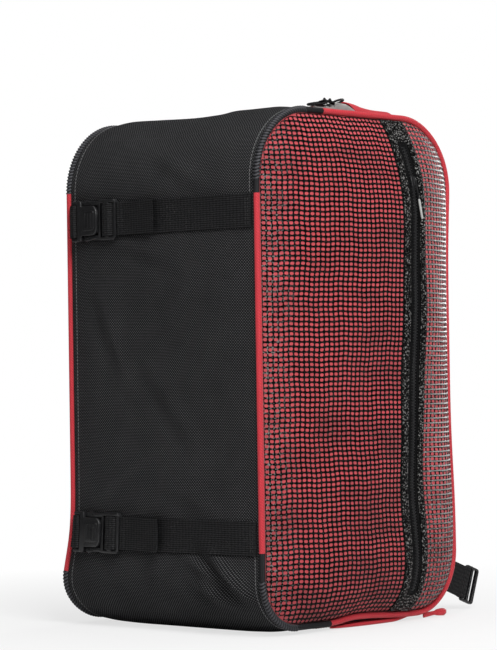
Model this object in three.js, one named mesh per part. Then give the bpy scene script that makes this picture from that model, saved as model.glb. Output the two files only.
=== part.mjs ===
// Dive duffel bag: a soft, upright, hollow bag standing on its short end.
// Millimetres, +Z up. The origin is on the floor under the middle of the base,
// the netted front panel looks towards -Y and +X is to the right of the front.
import * as THREE from 'three';

// Driving dimensions of the body
const SEAM_WIDTH = 339; // between the left and right seams
const SEAM_DEPTH = 300; // between the front and back seams
const SEAM_LOW = 8; // lower run of the seams above the floor
const SEAM_HIGH = 589.5; // upper run of the seams above the floor
const CORNERS = { topLeft: 82, topRight: 86, bottomRight: 72, bottomLeft: 55 }; // radii of the seams
const WALL = 2; // cloth walls
const GAP = 0.3; // clearance between neighbouring pieces
const SEAM_GAP = 0.5; // between the piping and the cloth beside it
const PIPING_DIAMETER = 7;
// How far the front and the back swell past their seams, the X of the peak, and the powers of the
// fall to the left and right seams: a higher power stays full for longer and falls more steeply
const CROWN = {
  front: { rise: 30, peak: 50, left: 2.5, right: 6 },
  back: { rise: 9, peak: 0, left: 2.4, right: 2.4 },
};
const CROWN_UPRIGHT = { low: 12, high: 8 }; // powers of the fall to the lower and upper seams

// Driving dimensions of the trim
const WEBBING_WIDTH = 38;
const WEBBING_THICK = 1.6;
const STRAP_HEIGHTS = { upper: 473, lower: 110 }; // middle of each side strap
const BUCKLE_DEPTH = 95; // buckle centre behind the middle of the bag
const STRAP_TAIL = 62; // doubled back end of a side strap
const TAIL_LIFT = 5; // how far its free end stands up
const POCKET_ZIP_X = 61.5; // upright pocket zip, right of the middle
const POCKET_TAPE_HALF = 8.8;
const BINDING = { inner: 9.2, outer: 20, thick: 3.2 }; // bindings beside the pocket tape
const TRIM_THICK = 1.1; // tapes
const ZIP_START = -58; // left end of the main zip on the top
const ZIP_END = -58; // left end of the main zip on the bottom
const ZIP_SHARES = [0.012, 0.05, 0.075]; // strip of the gusset that the main zip covers
const RED_HEIGHTS = { low: 94, high: 492 }; // red run of the left front piping

// Gusset sections from the front seam to the back seam. share is the part of the depth;
// side, top and bottom are how far the cloth stands out past the seam outline there,
// and round is what is added to the corner radii.
const SECTIONS = [
  { share: 0, side: 0, top: 0, bottom: 0, round: 0 },
  { share: 0.05, side: 3, top: 3, bottom: 4, round: 5 },
  { share: 0.12, side: 6, top: 5, bottom: 6, round: 9 },
  { share: 0.25, side: 9, top: 5, bottom: 7, round: 12 },
  { share: 0.5, side: 12, top: 2, bottom: 7, round: 14 },
  { share: 0.75, side: 9, top: 4, bottom: 7, round: 12 },
  { share: 0.88, side: 6, top: 5, bottom: 6, round: 9 },
  { share: 0.95, side: 3, top: 3, bottom: 4, round: 5 },
  { share: 1, side: 0, top: 0, bottom: 0, round: 0 },
];

// Soft hollows pressed into the gusset. at is the height on an upright run or X on a level one.
const HOLLOWS = [
  { run: 'left', at: 300, share: 0.55, depth: 7, long: 115, wide: 0.24 },
  { run: 'left', at: 215, share: 0.2, depth: 4, long: 60, wide: 0.12 },
  { run: 'right', at: 330, share: 0.5, depth: 5, long: 120, wide: 0.22 },
  { run: 'top', at: 25, share: 0.55, depth: 7, long: 80, wide: 0.25 },
];

// The loaded bag spreads at its back foot
const SLUMP = { height: 40, reach: 55, outward: 8, backward: 8 };

// Stops along the straight part of each run, where the cloth has its rows of vertices.
// The left side has rows along the edges and the middle of each strap.
const strapRows = (height) => [height - WEBBING_WIDTH / 2, height, height + WEBBING_WIDTH / 2];
const LEFT_STOPS = [
  ...strapRows(STRAP_HEIGHTS.lower), 170, 215, 260, 300, 345, 400, ...strapRows(STRAP_HEIGHTS.upper),
];
const RIGHT_STOPS = [110, 160, 215, 270, 330, 390, 470];
const LEVEL_STOPS = [-66, -22, 22, 66];
const ZIP_STOPS = [0, 50]; // on the level parts of the main zip and of the piping beside it
const PIPING_STOPS = [190, 300, 410];
const BACK_STOPS = { upright: [95, 125, 170, 260, 380], level: [-40, 40] };
const CORNER_STEPS = 4; // facets in each half corner
const HALF_TURN = Math.PI / 4;

const HALF_WIDTH = SEAM_WIDTH / 2;
const HALF_DEPTH = SEAM_DEPTH / 2;
const EDGE = PIPING_DIAMETER / 2 + SEAM_GAP; // from the seam line to the cloth beside it

// The four runs of the outline, each from mid corner to mid corner, clockwise from the front
const RUNS = {
  left: { along: [0, 1], out: [-1, 0], corners: ['bottomLeft', 'topLeft'] },
  top: { along: [1, 0], out: [0, 1], corners: ['topLeft', 'topRight'] },
  right: { along: [0, -1], out: [1, 0], corners: ['topRight', 'bottomRight'] },
  bottom: { along: [-1, 0], out: [0, -1], corners: ['bottomRight', 'bottomLeft'] },
};
const FRONT = -1;
const BACK = 1;

// Colours and finishes
const FINISHES = {
  redCloth: { color: 0xb0212c, roughness: 0.75, metalness: 0 },
  redTrim: { color: 0xc8202c, roughness: 0.6, metalness: 0 },
  blackCloth: { color: 0x1b1b1d, roughness: 0.8, metalness: 0 },
  blackTrim: { color: 0x141415, roughness: 0.65, metalness: 0 },
  webbing: { color: 0x121213, roughness: 0.7, metalness: 0 },
  plastic: { color: 0x17171a, roughness: 0.4, metalness: 0 },
  coil: { color: 0x8a8a8c, roughness: 0.5, metalness: 0.1 },
  palePull: { color: 0xc9c9c6, roughness: 0.5, metalness: 0.2 },
};

const bag = new THREE.Group();

function addMesh(name, geometry, finish, matrix) {
  const mesh = new THREE.Mesh(geometry, new THREE.MeshStandardMaterial(FINISHES[finish]));
  mesh.name = name;
  if (matrix) mesh.applyMatrix4(matrix);
  bag.add(mesh);
}

// Form of the body

function mix(a, b, t) {
  return a + (b - a) * t;
}

function sectionAt(share) {
  const last = SECTIONS.length - 2;
  const found = SECTIONS.findIndex((row, k) => k <= last && share <= SECTIONS[k + 1].share);
  const k = found < 0 ? last : found;
  const from = SECTIONS[k];
  const to = SECTIONS[k + 1];
  const t = (share - from.share) / (to.share - from.share);
  return {
    side: mix(from.side, to.side, t),
    top: mix(from.top, to.top, t),
    bottom: mix(from.bottom, to.bottom, t),
    round: mix(from.round, to.round, t),
  };
}

function depthAt(share) {
  return mix(EDGE - HALF_DEPTH, HALF_DEPTH - EDGE, share);
}

function shareAt(depth) {
  return (depth + HALF_DEPTH - EDGE) / (SEAM_DEPTH - 2 * EDGE);
}

function settle(point) {
  const low = Math.exp(-(((point.z - SLUMP.height) / SLUMP.reach) ** 2));
  const back = THREE.MathUtils.smoothstep(point.y, 0, HALF_DEPTH);
  point.x *= 1 + (SLUMP.outward / HALF_WIDTH) * low * back;
  point.y += SLUMP.backward * low * back;
  return point;
}

function hollowAt(run, at, share) {
  let depth = 0;
  for (const row of HOLLOWS) {
    if (row.run !== run) continue;
    const lengthwise = ((at - row.at) / row.long) ** 2;
    const sideways = ((share - row.share) / row.wide) ** 2;
    depth += row.depth * Math.exp(-lengthwise - sideways);
  }
  return depth;
}

// A point on the gusset. A place is either { at }, the height or X on the straight part of a
// run, or { corner, turn }, an angle round the corner at the run's start (-1) or end (1).
function gussetPoint(run, place, share, outset, depth = depthAt(share)) {
  const section = sectionAt(share);
  const low = SEAM_LOW - section.bottom;
  const high = SEAM_HIGH + section.top;
  const half = HALF_WIDTH + section.side;
  const { along, out, corners } = RUNS[run];
  const upright = along[0] === 0;
  const centre = (low + high) / 2;
  const reach = upright ? (high - low) / 2 : half;
  const stand = upright ? half : (high - low) / 2;
  const onCorner = place.corner !== undefined;
  const turn = onCorner ? place.turn * place.corner : 0;
  const radius = onCorner ? CORNERS[corners[place.corner < 0 ? 0 : 1]] + section.round : 0;
  const direction = along[0] + along[1];
  const straight = onCorner
    ? place.corner * (reach - radius)
    : direction * (upright ? place.at - centre : place.at);
  const a = straight + radius * Math.sin(turn);
  const b = stand - radius * (1 - Math.cos(turn));
  const x = along[0] * a + out[0] * b;
  const z = centre + along[1] * a + out[1] * b;
  const normalX = out[0] * Math.cos(turn) + along[0] * Math.sin(turn);
  const normalZ = out[1] * Math.cos(turn) + along[1] * Math.sin(turn);
  const move = outset - hollowAt(run, upright ? z : x, share);
  return settle(new THREE.Vector3(x + normalX * move, depth, z + normalZ * move));
}

const PANEL_HALF = HALF_WIDTH - EDGE;

// How far a round corner draws in the lower or upper edge of a panel at X
function cornerDrop(corner, x) {
  const radius = CORNERS[corner] - EDGE;
  const over = Math.max(0, Math.abs(x) - (PANEL_HALF - radius));
  return radius - Math.sqrt(Math.max(0, radius ** 2 - over ** 2));
}

// A point on the front or back panel: x across, row from 0 at its lower edge to 1 at its upper
function panelPoint(x, row, facing, outset) {
  const low = SEAM_LOW + EDGE + cornerDrop(x < 0 ? 'bottomLeft' : 'bottomRight', x);
  const high = SEAM_HIGH - EDGE - cornerDrop(x < 0 ? 'topLeft' : 'topRight', x);
  const { rise, peak, left, right } = facing === FRONT ? CROWN.front : CROWN.back;
  const across = x < peak
    ? 1 - ((peak - x) / (PANEL_HALF + peak)) ** left
    : 1 - ((x - peak) / (PANEL_HALF - peak)) ** right;
  const upright = 1 - Math.abs(2 * row - 1) ** (row < 0.5 ? CROWN_UPRIGHT.low : CROWN_UPRIGHT.high);
  const y = facing * (HALF_DEPTH + rise * across * upright + outset);
  return settle(new THREE.Vector3(x, y, mix(low, high, row)));
}

// Closed solids from grids of points

function closedShell(outer, inner) {
  const rows = outer.length;
  const columns = outer[0].length;
  const points = [...outer.flat(), ...inner.flat()];
  const at = (side, i, j) => side * rows * columns + i * columns + j;
  const faces = [];
  const quad = (a, b, c, d) => faces.push(a, b, c, a, c, d);
  for (let i = 0; i < rows - 1; i++) {
    for (let j = 0; j < columns - 1; j++) {
      quad(at(0, i, j), at(0, i + 1, j), at(0, i + 1, j + 1), at(0, i, j + 1));
      quad(at(1, i, j), at(1, i, j + 1), at(1, i + 1, j + 1), at(1, i + 1, j));
    }
    quad(at(0, i, 0), at(1, i, 0), at(1, i + 1, 0), at(0, i + 1, 0));
    const end = columns - 1;
    quad(at(0, i, end), at(0, i + 1, end), at(1, i + 1, end), at(1, i, end));
  }
  for (let j = 0; j < columns - 1; j++) {
    quad(at(0, 0, j), at(0, 0, j + 1), at(1, 0, j + 1), at(1, 0, j));
    const end = rows - 1;
    quad(at(0, end, j), at(1, end, j), at(1, end, j + 1), at(0, end, j + 1));
  }
  let volume = 0;
  for (let k = 0; k < faces.length; k += 3) {
    const [a, b, c] = [points[faces[k]], points[faces[k + 1]], points[faces[k + 2]]];
    volume += a.dot(b.clone().cross(c));
  }
  if (volume < 0) faces.reverse();
  const numbers = points.flatMap((point) => point.toArray());
  const geometry = new THREE.BufferGeometry();
  geometry.setAttribute('position', new THREE.Float32BufferAttribute(numbers, 3));
  geometry.setIndex(faces);
  geometry.computeVertexNormals();
  return geometry;
}

// A wall over a grid of places and shares, lying between two distances from the middle of the cloth
function gussetStrip(places, shares, lower, upper) {
  const grid = (offset) => places.map((place) =>
    shares.map((share, k) => gussetPoint(place.run, place, share, offset[k] ?? offset[0])));
  return closedShell(grid(upper), grid(lower));
}

function panelStrip(columns, rows, facing, lower, upper) {
  const grid = (offset) => columns.map((x) => rows.map((row) => panelPoint(x, row, facing, offset)));
  return closedShell(grid(upper), grid(lower));
}

function cornerPlaces(run, corner, from, to) {
  const places = [];
  for (let k = 0; k <= CORNER_STEPS; k++) {
    places.push({ run, corner, turn: mix(from, to, k / CORNER_STEPS) });
  }
  return places;
}

function straightPlaces(run, stops) {
  const { along } = RUNS[run];
  const ordered = along[0] + along[1] > 0 ? stops : [...stops].reverse();
  return ordered.map((at) => ({ run, at }));
}

// Cloth of the body

// The cloth stops just short of the seam at each mid corner
const SEAM_TURN = HALF_TURN - GAP / Math.min(...Object.values(CORNERS));

function gussetPanel(name, run, stops) {
  const places = [
    ...cornerPlaces(run, -1, SEAM_TURN, 0),
    ...straightPlaces(run, stops),
    ...cornerPlaces(run, 1, 0, SEAM_TURN),
  ];
  const shares = SECTIONS.map((section) => section.share);
  addMesh(name, gussetStrip(places, shares, [-WALL / 2], [WALL / 2]), 'blackCloth');
}

gussetPanel('side_panel_left', 'left', LEFT_STOPS);
gussetPanel('side_panel_right', 'right', RIGHT_STOPS);
gussetPanel('top_panel', 'top', LEVEL_STOPS);
gussetPanel('bottom_panel', 'bottom', LEVEL_STOPS);

// Columns of a panel over its round corner, from the straight part out to the side
function cornerColumns(corner) {
  const radius = CORNERS[corner] - EDGE;
  const columns = [];
  for (let k = 0; k <= CORNER_STEPS; k++) {
    columns.push(PANEL_HALF - radius * (1 - Math.sin((k / CORNER_STEPS) * 2 * HALF_TURN)));
  }
  return columns;
}

function panelColumns(middleColumns) {
  const left = cornerColumns('topLeft').map((x) => -x);
  return [...left, ...middleColumns, ...cornerColumns('topRight')].sort((a, b) => a - b);
}

// Rows of a panel, closer together towards its lower and upper seams
function panelRows(count) {
  return Array.from({ length: count + 1 }, (_, k) => (1 - Math.cos((k / count) * Math.PI)) / 2);
}

const FRONT_ROWS = panelRows(16);
const BACK_ROWS = panelRows(10);
const BINDING_COLUMNS = {
  left: [POCKET_ZIP_X - BINDING.outer, POCKET_ZIP_X - BINDING.inner],
  right: [POCKET_ZIP_X + BINDING.inner, POCKET_ZIP_X + BINDING.outer],
};
const FREE_COLUMNS = { front: [-50, -10, 25], back: [-60, 0, 60] };
const frontColumns = panelColumns([
  ...FREE_COLUMNS.front, ...BINDING_COLUMNS.left, POCKET_ZIP_X, ...BINDING_COLUMNS.right,
]);
const backColumns = panelColumns(FREE_COLUMNS.back);
const frontCloth = panelStrip(frontColumns, FRONT_ROWS, FRONT, -WALL / 2, WALL / 2);
const backCloth = panelStrip(backColumns, BACK_ROWS, BACK, -WALL / 2, WALL / 2);
addMesh('front_panel', frontCloth, 'redCloth');
addMesh('back_panel', backCloth, 'blackCloth');

// Piping along the front and back seams

function circleShape(diameter, sides) {
  const shape = new THREE.Shape();
  for (let k = 0; k < sides; k++) {
    const angle = (k / sides) * 2 * Math.PI;
    const point = [(diameter / 2) * Math.cos(angle), (diameter / 2) * Math.sin(angle)];
    if (k === 0) shape.moveTo(...point);
    else shape.lineTo(...point);
  }
  shape.closePath();
  return shape;
}

function tube(path, diameter, sides, steps) {
  const section = circleShape(diameter, sides);
  return new THREE.ExtrudeGeometry(section, { steps, extrudePath: path, bevelEnabled: false });
}

const PIPING_SIDES = 8;
const ROUND_STEP = 15; // length of a facet along piping that turns a corner
const RUN_STEP = 40; // and along a run with no corner

function piping(name, places, facing, finish, facet) {
  const share = facing === FRONT ? 0 : 1;
  const points = places.map((place) => gussetPoint(place.run, place, share, 0, facing * HALF_DEPTH));
  const path = new THREE.CatmullRomCurve3(points);
  const steps = Math.round(path.getLength() / facet);
  addMesh(name, tube(path, PIPING_DIAMETER, PIPING_SIDES, steps), finish);
}

const aroundCorner = (from, to) => [
  ...cornerPlaces(from, 1, 0, HALF_TURN),
  ...cornerPlaces(to, -1, HALF_TURN, 0).slice(1),
];

piping('piping_front_red_left', straightPlaces('left', [
  RED_HEIGHTS.low + GAP, ...PIPING_STOPS, RED_HEIGHTS.high - GAP,
]), FRONT, 'redTrim', RUN_STEP);
piping('piping_front_corner_top', [
  ...straightPlaces('left', [RED_HEIGHTS.high]),
  ...aroundCorner('left', 'top'),
  ...straightPlaces('top', [ZIP_START - GAP]),
], FRONT, 'blackTrim', ROUND_STEP);
piping('piping_front_red_right', [
  ...straightPlaces('top', [ZIP_START, ...ZIP_STOPS]),
  ...aroundCorner('top', 'right'),
  ...straightPlaces('right', PIPING_STOPS),
  ...aroundCorner('right', 'bottom'),
  ...straightPlaces('bottom', [ZIP_END, ...ZIP_STOPS]),
], FRONT, 'redTrim', ROUND_STEP);
piping('piping_front_corner_bottom', [
  ...straightPlaces('bottom', [ZIP_END - GAP]),
  ...aroundCorner('bottom', 'left'),
  ...straightPlaces('left', [RED_HEIGHTS.low]),
], FRONT, 'blackTrim', ROUND_STEP);

// Ends of the straight part of each run of the seams, as heights or X
const STRAIGHT_ENDS = {
  left: [SEAM_LOW + CORNERS.bottomLeft, SEAM_HIGH - CORNERS.topLeft],
  top: [CORNERS.topLeft - HALF_WIDTH, HALF_WIDTH - CORNERS.topRight],
  right: [SEAM_LOW + CORNERS.bottomRight, SEAM_HIGH - CORNERS.topRight],
  bottom: [CORNERS.bottomLeft - HALF_WIDTH, HALF_WIDTH - CORNERS.bottomRight],
};
const NEXT_RUN = { left: 'top', top: 'right', right: 'bottom', bottom: 'left' };
for (const [run, [first, last]] of Object.entries(STRAIGHT_ENDS)) {
  const between = RUNS[run].along[0] === 0 ? BACK_STOPS.upright : BACK_STOPS.level;
  const places = straightPlaces(run, [first + 2 * GAP, ...between, last - 2 * GAP]);
  const next = NEXT_RUN[run];
  piping(`piping_back_${run}`, places, BACK, 'redTrim', RUN_STEP);
  piping(`piping_back_corner_${run}_${next}`, aroundCorner(run, next), BACK, 'blackTrim', ROUND_STEP);
}

// Main zip: tape behind the front piping, over the top, down the right and along the bottom

const ON_CLOTH = WALL / 2 + GAP; // from the middle of the cloth to what lies on it
const ON_TAPE = ON_CLOTH + TRIM_THICK + GAP; // and to what lies on a tape
const zipPlaces = [
  ...straightPlaces('top', [ZIP_START, ...ZIP_STOPS]),
  ...aroundCorner('top', 'right'),
  ...straightPlaces('right', RIGHT_STOPS),
  ...aroundCorner('right', 'bottom'),
  ...straightPlaces('bottom', [ZIP_END, ...ZIP_STOPS]),
];
const zipTape = gussetStrip(zipPlaces, ZIP_SHARES, [ON_CLOTH], [ON_CLOTH + TRIM_THICK]);
addMesh('main_zip_tape', zipTape, 'redTrim');

const COIL = { stops: [-57, -32, -6], shares: [0.014, 0.034, 0.05], edge: 0.8, height: 2.2 };
const coilTop = [ON_TAPE + COIL.edge, ON_TAPE + COIL.height, ON_TAPE + COIL.edge];
const coil = gussetStrip(straightPlaces('top', COIL.stops), COIL.shares, [ON_TAPE], coilTop);
addMesh('main_zip_coil', coil, 'coil');

// Cloth hood that stands up over the start of the zip and sinks to the tape towards the right.
// at is X along the top and rise is the height of the hood's ridge over the tape.
const HOOD = [
  { at: -5, rise: 9 },
  { at: 8, rise: 7.5 },
  { at: 26, rise: 4.5 },
  { at: 50, rise: 2.4 },
  { at: 76, rise: 2 },
];
const HOOD_SHARES = [0.014, 0.03, 0.045, 0.06, 0.074];
const HOOD_PROFILE = [0, 0.75, 1, 0.75, 0]; // rise across the hood
function hoodGrid(lift) {
  return HOOD.map(({ at, rise }) => HOOD_SHARES.map((share, k) =>
    gussetPoint('top', { at }, share, ON_TAPE + lift + rise * HOOD_PROFILE[k])));
}
addMesh('main_zip_hood', closedShell(hoodGrid(TRIM_THICK), hoodGrid(0)), 'redTrim');

// Small hard pieces, drawn flat and set on the cloth

// Local frame on the gusset: X to the front, Y along the run, Z out of the cloth. The frame is
// lifted until a footprint of the given half sizes clears the cloth.
function seatOnGusset(run, at, depth, halfAlong, halfDepth, clearance) {
  const share = shareAt(depth);
  const stepShare = halfDepth / (SEAM_DEPTH - 2 * EDGE);
  const sample = (i, j) => gussetPoint(run, { at: at + i * halfAlong }, share + j * stepShare, WALL / 2);
  const { along } = RUNS[run];
  const direction = along[0] + along[1];
  const origin = sample(0, 0);
  const toFront = sample(0, -1).sub(sample(0, 1)).normalize();
  const alongRun = sample(1, 0).sub(sample(-1, 0)).multiplyScalar(direction).normalize();
  const out = toFront.clone().cross(alongRun).normalize();
  alongRun.copy(out).cross(toFront);
  let lift = 0;
  for (const i of [-1, -0.5, 0, 0.5, 1]) {
    for (const j of [-1, -0.5, 0, 0.5, 1]) {
      lift = Math.max(lift, sample(i, j).sub(origin).dot(out));
    }
  }
  origin.addScaledVector(out, lift + clearance);
  return new THREE.Matrix4().makeBasis(toFront, alongRun, out).setPosition(origin);
}

const FRONT_FOOTPRINT = { across: 10, row: 0.02 }; // half size of what is set on the front

// Local frame on the front panel: X across, Y up, Z out of the cloth
function seatOnFront(x, row, clearance) {
  const sample = (i, j) => {
    const spot = [x + i * FRONT_FOOTPRINT.across, row + j * FRONT_FOOTPRINT.row];
    return panelPoint(...spot, FRONT, WALL / 2 + clearance);
  };
  const up = sample(0, 1).sub(sample(0, -1)).normalize();
  const across = sample(1, 0).sub(sample(-1, 0)).normalize();
  const out = across.clone().cross(up).normalize();
  up.copy(out).cross(across);
  return new THREE.Matrix4().makeBasis(across, up, out).setPosition(sample(0, 0));
}

function roundedOutline(halfX, halfY, radius) {
  const shape = new THREE.Shape();
  shape.moveTo(-halfX + radius, -halfY);
  shape.lineTo(halfX - radius, -halfY);
  shape.quadraticCurveTo(halfX, -halfY, halfX, -halfY + radius);
  shape.lineTo(halfX, halfY - radius);
  shape.quadraticCurveTo(halfX, halfY, halfX - radius, halfY);
  shape.lineTo(-halfX + radius, halfY);
  shape.quadraticCurveTo(-halfX, halfY, -halfX, halfY - radius);
  shape.lineTo(-halfX, -halfY + radius);
  shape.quadraticCurveTo(-halfX, -halfY, -halfX + radius, -halfY);
  return shape;
}

function slotAt(x, halfX, halfY) {
  const hole = new THREE.Path();
  hole.moveTo(x - halfX, -halfY);
  hole.lineTo(x - halfX, halfY);
  hole.lineTo(x + halfX, halfY);
  hole.lineTo(x + halfX, -halfY);
  hole.closePath();
  return hole;
}

// A flat outline as a plate with eased edges, from z = 0 up to its thickness
function plate(shape, thickness, ease) {
  const geometry = new THREE.ExtrudeGeometry(shape, {
    depth: thickness - 2 * ease,
    bevelEnabled: true,
    bevelThickness: ease,
    bevelSize: ease,
    bevelOffset: -ease,
    bevelSegments: 1,
    curveSegments: 2,
  });
  geometry.translate(0, 0, ease);
  return geometry;
}

// An outline that is the same on both sides of the X axis, from its upper half
function mirroredOutline(half) {
  const points = [...half, ...half.map(([x, y]) => [x, -y]).reverse()];
  return new THREE.Shape(points.map(([x, y]) => new THREE.Vector2(x, y)));
}

// Side straps with their buckles

const BUCKLE = {
  halfWide: 23.5,
  cornerCut: 4, // slanting outer corners
  plugFront: 38, // end of the plug's frame towards the front of the bag
  plugBack: 8, // where the frame meets the socket
  frontBar: 4, // bars at the two ends of the plug's frame
  rearBar: 3,
  slotHalf: 4,
  armEnd: -19, // ends of the two press arms
  armInner: 17.5,
  armWaist: 1.5, // how far the arms draw in behind the frame and at their ends
  armSwell: 0.6, // how far they stand out at their grips
  waistAt: 6, // waist behind the frame
  gripAt: 5, // grip before the arm's end
  plugThick: 6,
  socketBack: -37,
  socketBar: 4, // rear bar of the socket
  socketSlotHalf: 3,
  noseHalf: 10, // end of the socket's nose
  noseTaper: 6,
  socketThick: 9,
  ease: 0.9,
};
const SLOT_HALF_WIDE = WEBBING_WIDTH / 2 + 0.7;
const SLOT_STEP = 0.3; // the second slot of a ladder frame is a little narrower

// Plug: ladder frame with two press arms that run back beside the socket
function bucklePlug() {
  const { halfWide, cornerCut, plugFront, plugBack, slotHalf, armEnd, armInner, armWaist } = BUCKLE;
  const shape = mirroredOutline([
    [plugFront, halfWide - cornerCut],
    [plugFront - cornerCut, halfWide],
    [plugBack + cornerCut, halfWide],
    [plugBack - BUCKLE.waistAt, halfWide - armWaist],
    [armEnd + BUCKLE.gripAt, halfWide + BUCKLE.armSwell],
    [armEnd, halfWide - armWaist],
    [armEnd, armInner],
    [plugBack, armInner],
  ]);
  const frontSlot = plugFront - BUCKLE.frontBar - slotHalf;
  const rearSlot = plugBack + BUCKLE.rearBar + slotHalf;
  shape.holes.push(slotAt(frontSlot, slotHalf, SLOT_HALF_WIDE));
  shape.holes.push(slotAt(rearSlot, slotHalf, SLOT_HALF_WIDE - SLOT_STEP));
  return plate(shape, BUCKLE.plugThick, BUCKLE.ease);
}

// Socket: a broad body with a narrow nose between the press arms and a slot for its webbing
function buckleSocket() {
  const { halfWide, cornerCut, plugBack, socketBack, socketSlotHalf } = BUCKLE;
  const nose = BUCKLE.armInner - GAP;
  const shoulder = BUCKLE.armEnd - GAP;
  const shape = mirroredOutline([
    [plugBack - GAP, BUCKLE.noseHalf],
    [plugBack - BUCKLE.noseTaper, nose],
    [shoulder, nose],
    [shoulder, halfWide],
    [socketBack + cornerCut, halfWide],
    [socketBack, halfWide - cornerCut],
  ]);
  const slot = socketBack + BUCKLE.socketBar + socketSlotHalf;
  shape.holes.push(slotAt(slot, socketSlotHalf, SLOT_HALF_WIDE));
  return plate(shape, BUCKLE.socketThick, BUCKLE.ease);
}

const STRAP_SHARES = [0.006, 0.05, 0.12, 0.25, 0.5]; // from the front seam back over the cloth
const ANCHOR_SHARE = 0.994; // the anchor starts at the back seam
const PLUG_RISE = 1; // how far the webbing rises to the plug
const SOCKET_RISE = 1.5; // and to the socket
const thicker = (heights) => heights.map((height) => height + WEBBING_THICK);

for (const [level, height] of Object.entries(STRAP_HEIGHTS)) {
  const places = straightPlaces('left', strapRows(height));
  const frontOfPlug = shareAt(BUCKLE_DEPTH - BUCKLE.plugFront - 2 * GAP);
  const backOfSocket = shareAt(BUCKLE_DEPTH - BUCKLE.socketBack + 2 * GAP);
  const tailEnd = shareAt(BUCKLE_DEPTH - BUCKLE.plugFront - STRAP_TAIL);

  const under = [...STRAP_SHARES.map(() => ON_CLOTH), ON_CLOTH + PLUG_RISE];
  const strap = gussetStrip(places, [...STRAP_SHARES, frontOfPlug], under, thicker(under));
  addMesh(`side_strap_${level}`, strap, 'webbing');

  const onStrap = ON_CLOTH + WEBBING_THICK + GAP;
  const tailUnder = [onStrap + TAIL_LIFT, onStrap, onStrap + PLUG_RISE];
  const tail = gussetStrip(places, [tailEnd, 0.5, frontOfPlug], tailUnder, thicker(tailUnder));
  addMesh(`strap_tail_${level}`, tail, 'webbing');

  const anchorUnder = [ON_CLOTH + SOCKET_RISE, ON_CLOTH];
  const anchor = gussetStrip(places, [backOfSocket, ANCHOR_SHARE], anchorUnder, thicker(anchorUnder));
  addMesh(`strap_anchor_${level}`, anchor, 'webbing');

  const seat = seatOnGusset('left', height, BUCKLE_DEPTH, BUCKLE.halfWide, BUCKLE.plugFront, GAP);
  addMesh(`buckle_plug_${level}`, bucklePlug(), 'plastic', seat);
  addMesh(`buckle_socket_${level}`, buckleSocket(), 'plastic', seat);
}

// Pocket zip on the front

const pocketRows = FRONT_ROWS.slice(2, -2); // from a little above the lower seam to under the upper one
const pocketColumns = [-POCKET_TAPE_HALF, 0, POCKET_TAPE_HALF].map((x) => POCKET_ZIP_X + x);
const pocketTape = panelStrip(pocketColumns, pocketRows, FRONT, ON_CLOTH, ON_CLOTH + TRIM_THICK);
addMesh('pocket_zip_tape', pocketTape, 'blackTrim');
for (const [side, columns] of Object.entries(BINDING_COLUMNS)) {
  const binding = panelStrip(columns, FRONT_ROWS, FRONT, ON_CLOTH, ON_CLOTH + BINDING.thick);
  addMesh(`pocket_binding_${side}`, binding, 'blackTrim');
}

const SLIDER = { halfWide: 4.5, halfLong: 7, thick: 3.6, corner: 3, ease: 0.8, above: 1 };
const POCKET_SLIDER_ROW = 0.87; // the zip is pulled almost to its top
const POCKET_PULL = { halfWide: 1.3, halfLong: 24, thick: 2.2, corner: 1.1, ease: 0.4, below: 21 };

function slider() {
  const shape = roundedOutline(SLIDER.halfWide, SLIDER.halfLong, SLIDER.corner);
  return plate(shape, SLIDER.thick, SLIDER.ease);
}

const pocketSeat = seatOnFront(POCKET_ZIP_X, POCKET_SLIDER_ROW, TRIM_THICK + SLIDER.above);
addMesh('pocket_zip_slider', slider(), 'plastic', pocketSeat);
const pullShape = roundedOutline(POCKET_PULL.halfWide, POCKET_PULL.halfLong, POCKET_PULL.corner);
const pocketPull = plate(pullShape, POCKET_PULL.thick, POCKET_PULL.ease);
pocketPull.translate(0, -POCKET_PULL.below, SLIDER.thick + GAP);
addMesh('pocket_zip_pull', pocketPull, 'palePull', pocketSeat);

// Sliders of the main zip on the top, each with a looped cord pull

const MAIN_SLIDERS = [
  { at: -48, pullFrom: -44, pullTo: -78, lean: 3 },
  { at: -30, pullFrom: -39, pullTo: -9, lean: -2 },
];
const MAIN_SLIDER_DEPTH = -137;
const LOOP = { cord: 2.6, halfWide: 4.2, points: 12, sides: 6, steps: 20 };
const aboveCoil = TRIM_THICK + COIL.height + 3 * GAP;
MAIN_SLIDERS.forEach(({ at, pullFrom, pullTo, lean }, k) => {
  const halfSlider = [SLIDER.halfLong, SLIDER.halfWide];
  const seat = seatOnGusset('top', at, MAIN_SLIDER_DEPTH, ...halfSlider, aboveCoil);
  addMesh(`main_zip_slider_${k + 1}`, slider(), 'plastic', seat);
  const ring = [];
  const middle = (pullFrom + pullTo) / 2 - at;
  const halfLong = Math.abs(pullTo - pullFrom) / 2;
  for (let n = 0; n < LOOP.points; n++) {
    const angle = (n / LOOP.points) * 2 * Math.PI;
    const alongRun = middle + halfLong * Math.cos(angle);
    const sideways = LOOP.halfWide * Math.sin(angle) + lean * Math.cos(angle);
    ring.push(new THREE.Vector3(sideways, alongRun, SLIDER.thick + LOOP.cord / 2 + GAP));
  }
  const path = new THREE.CatmullRomCurve3(ring, true);
  addMesh(`main_zip_pull_${k + 1}`, tube(path, LOOP.cord, LOOP.sides, LOOP.steps), 'webbing', seat);
});

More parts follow.
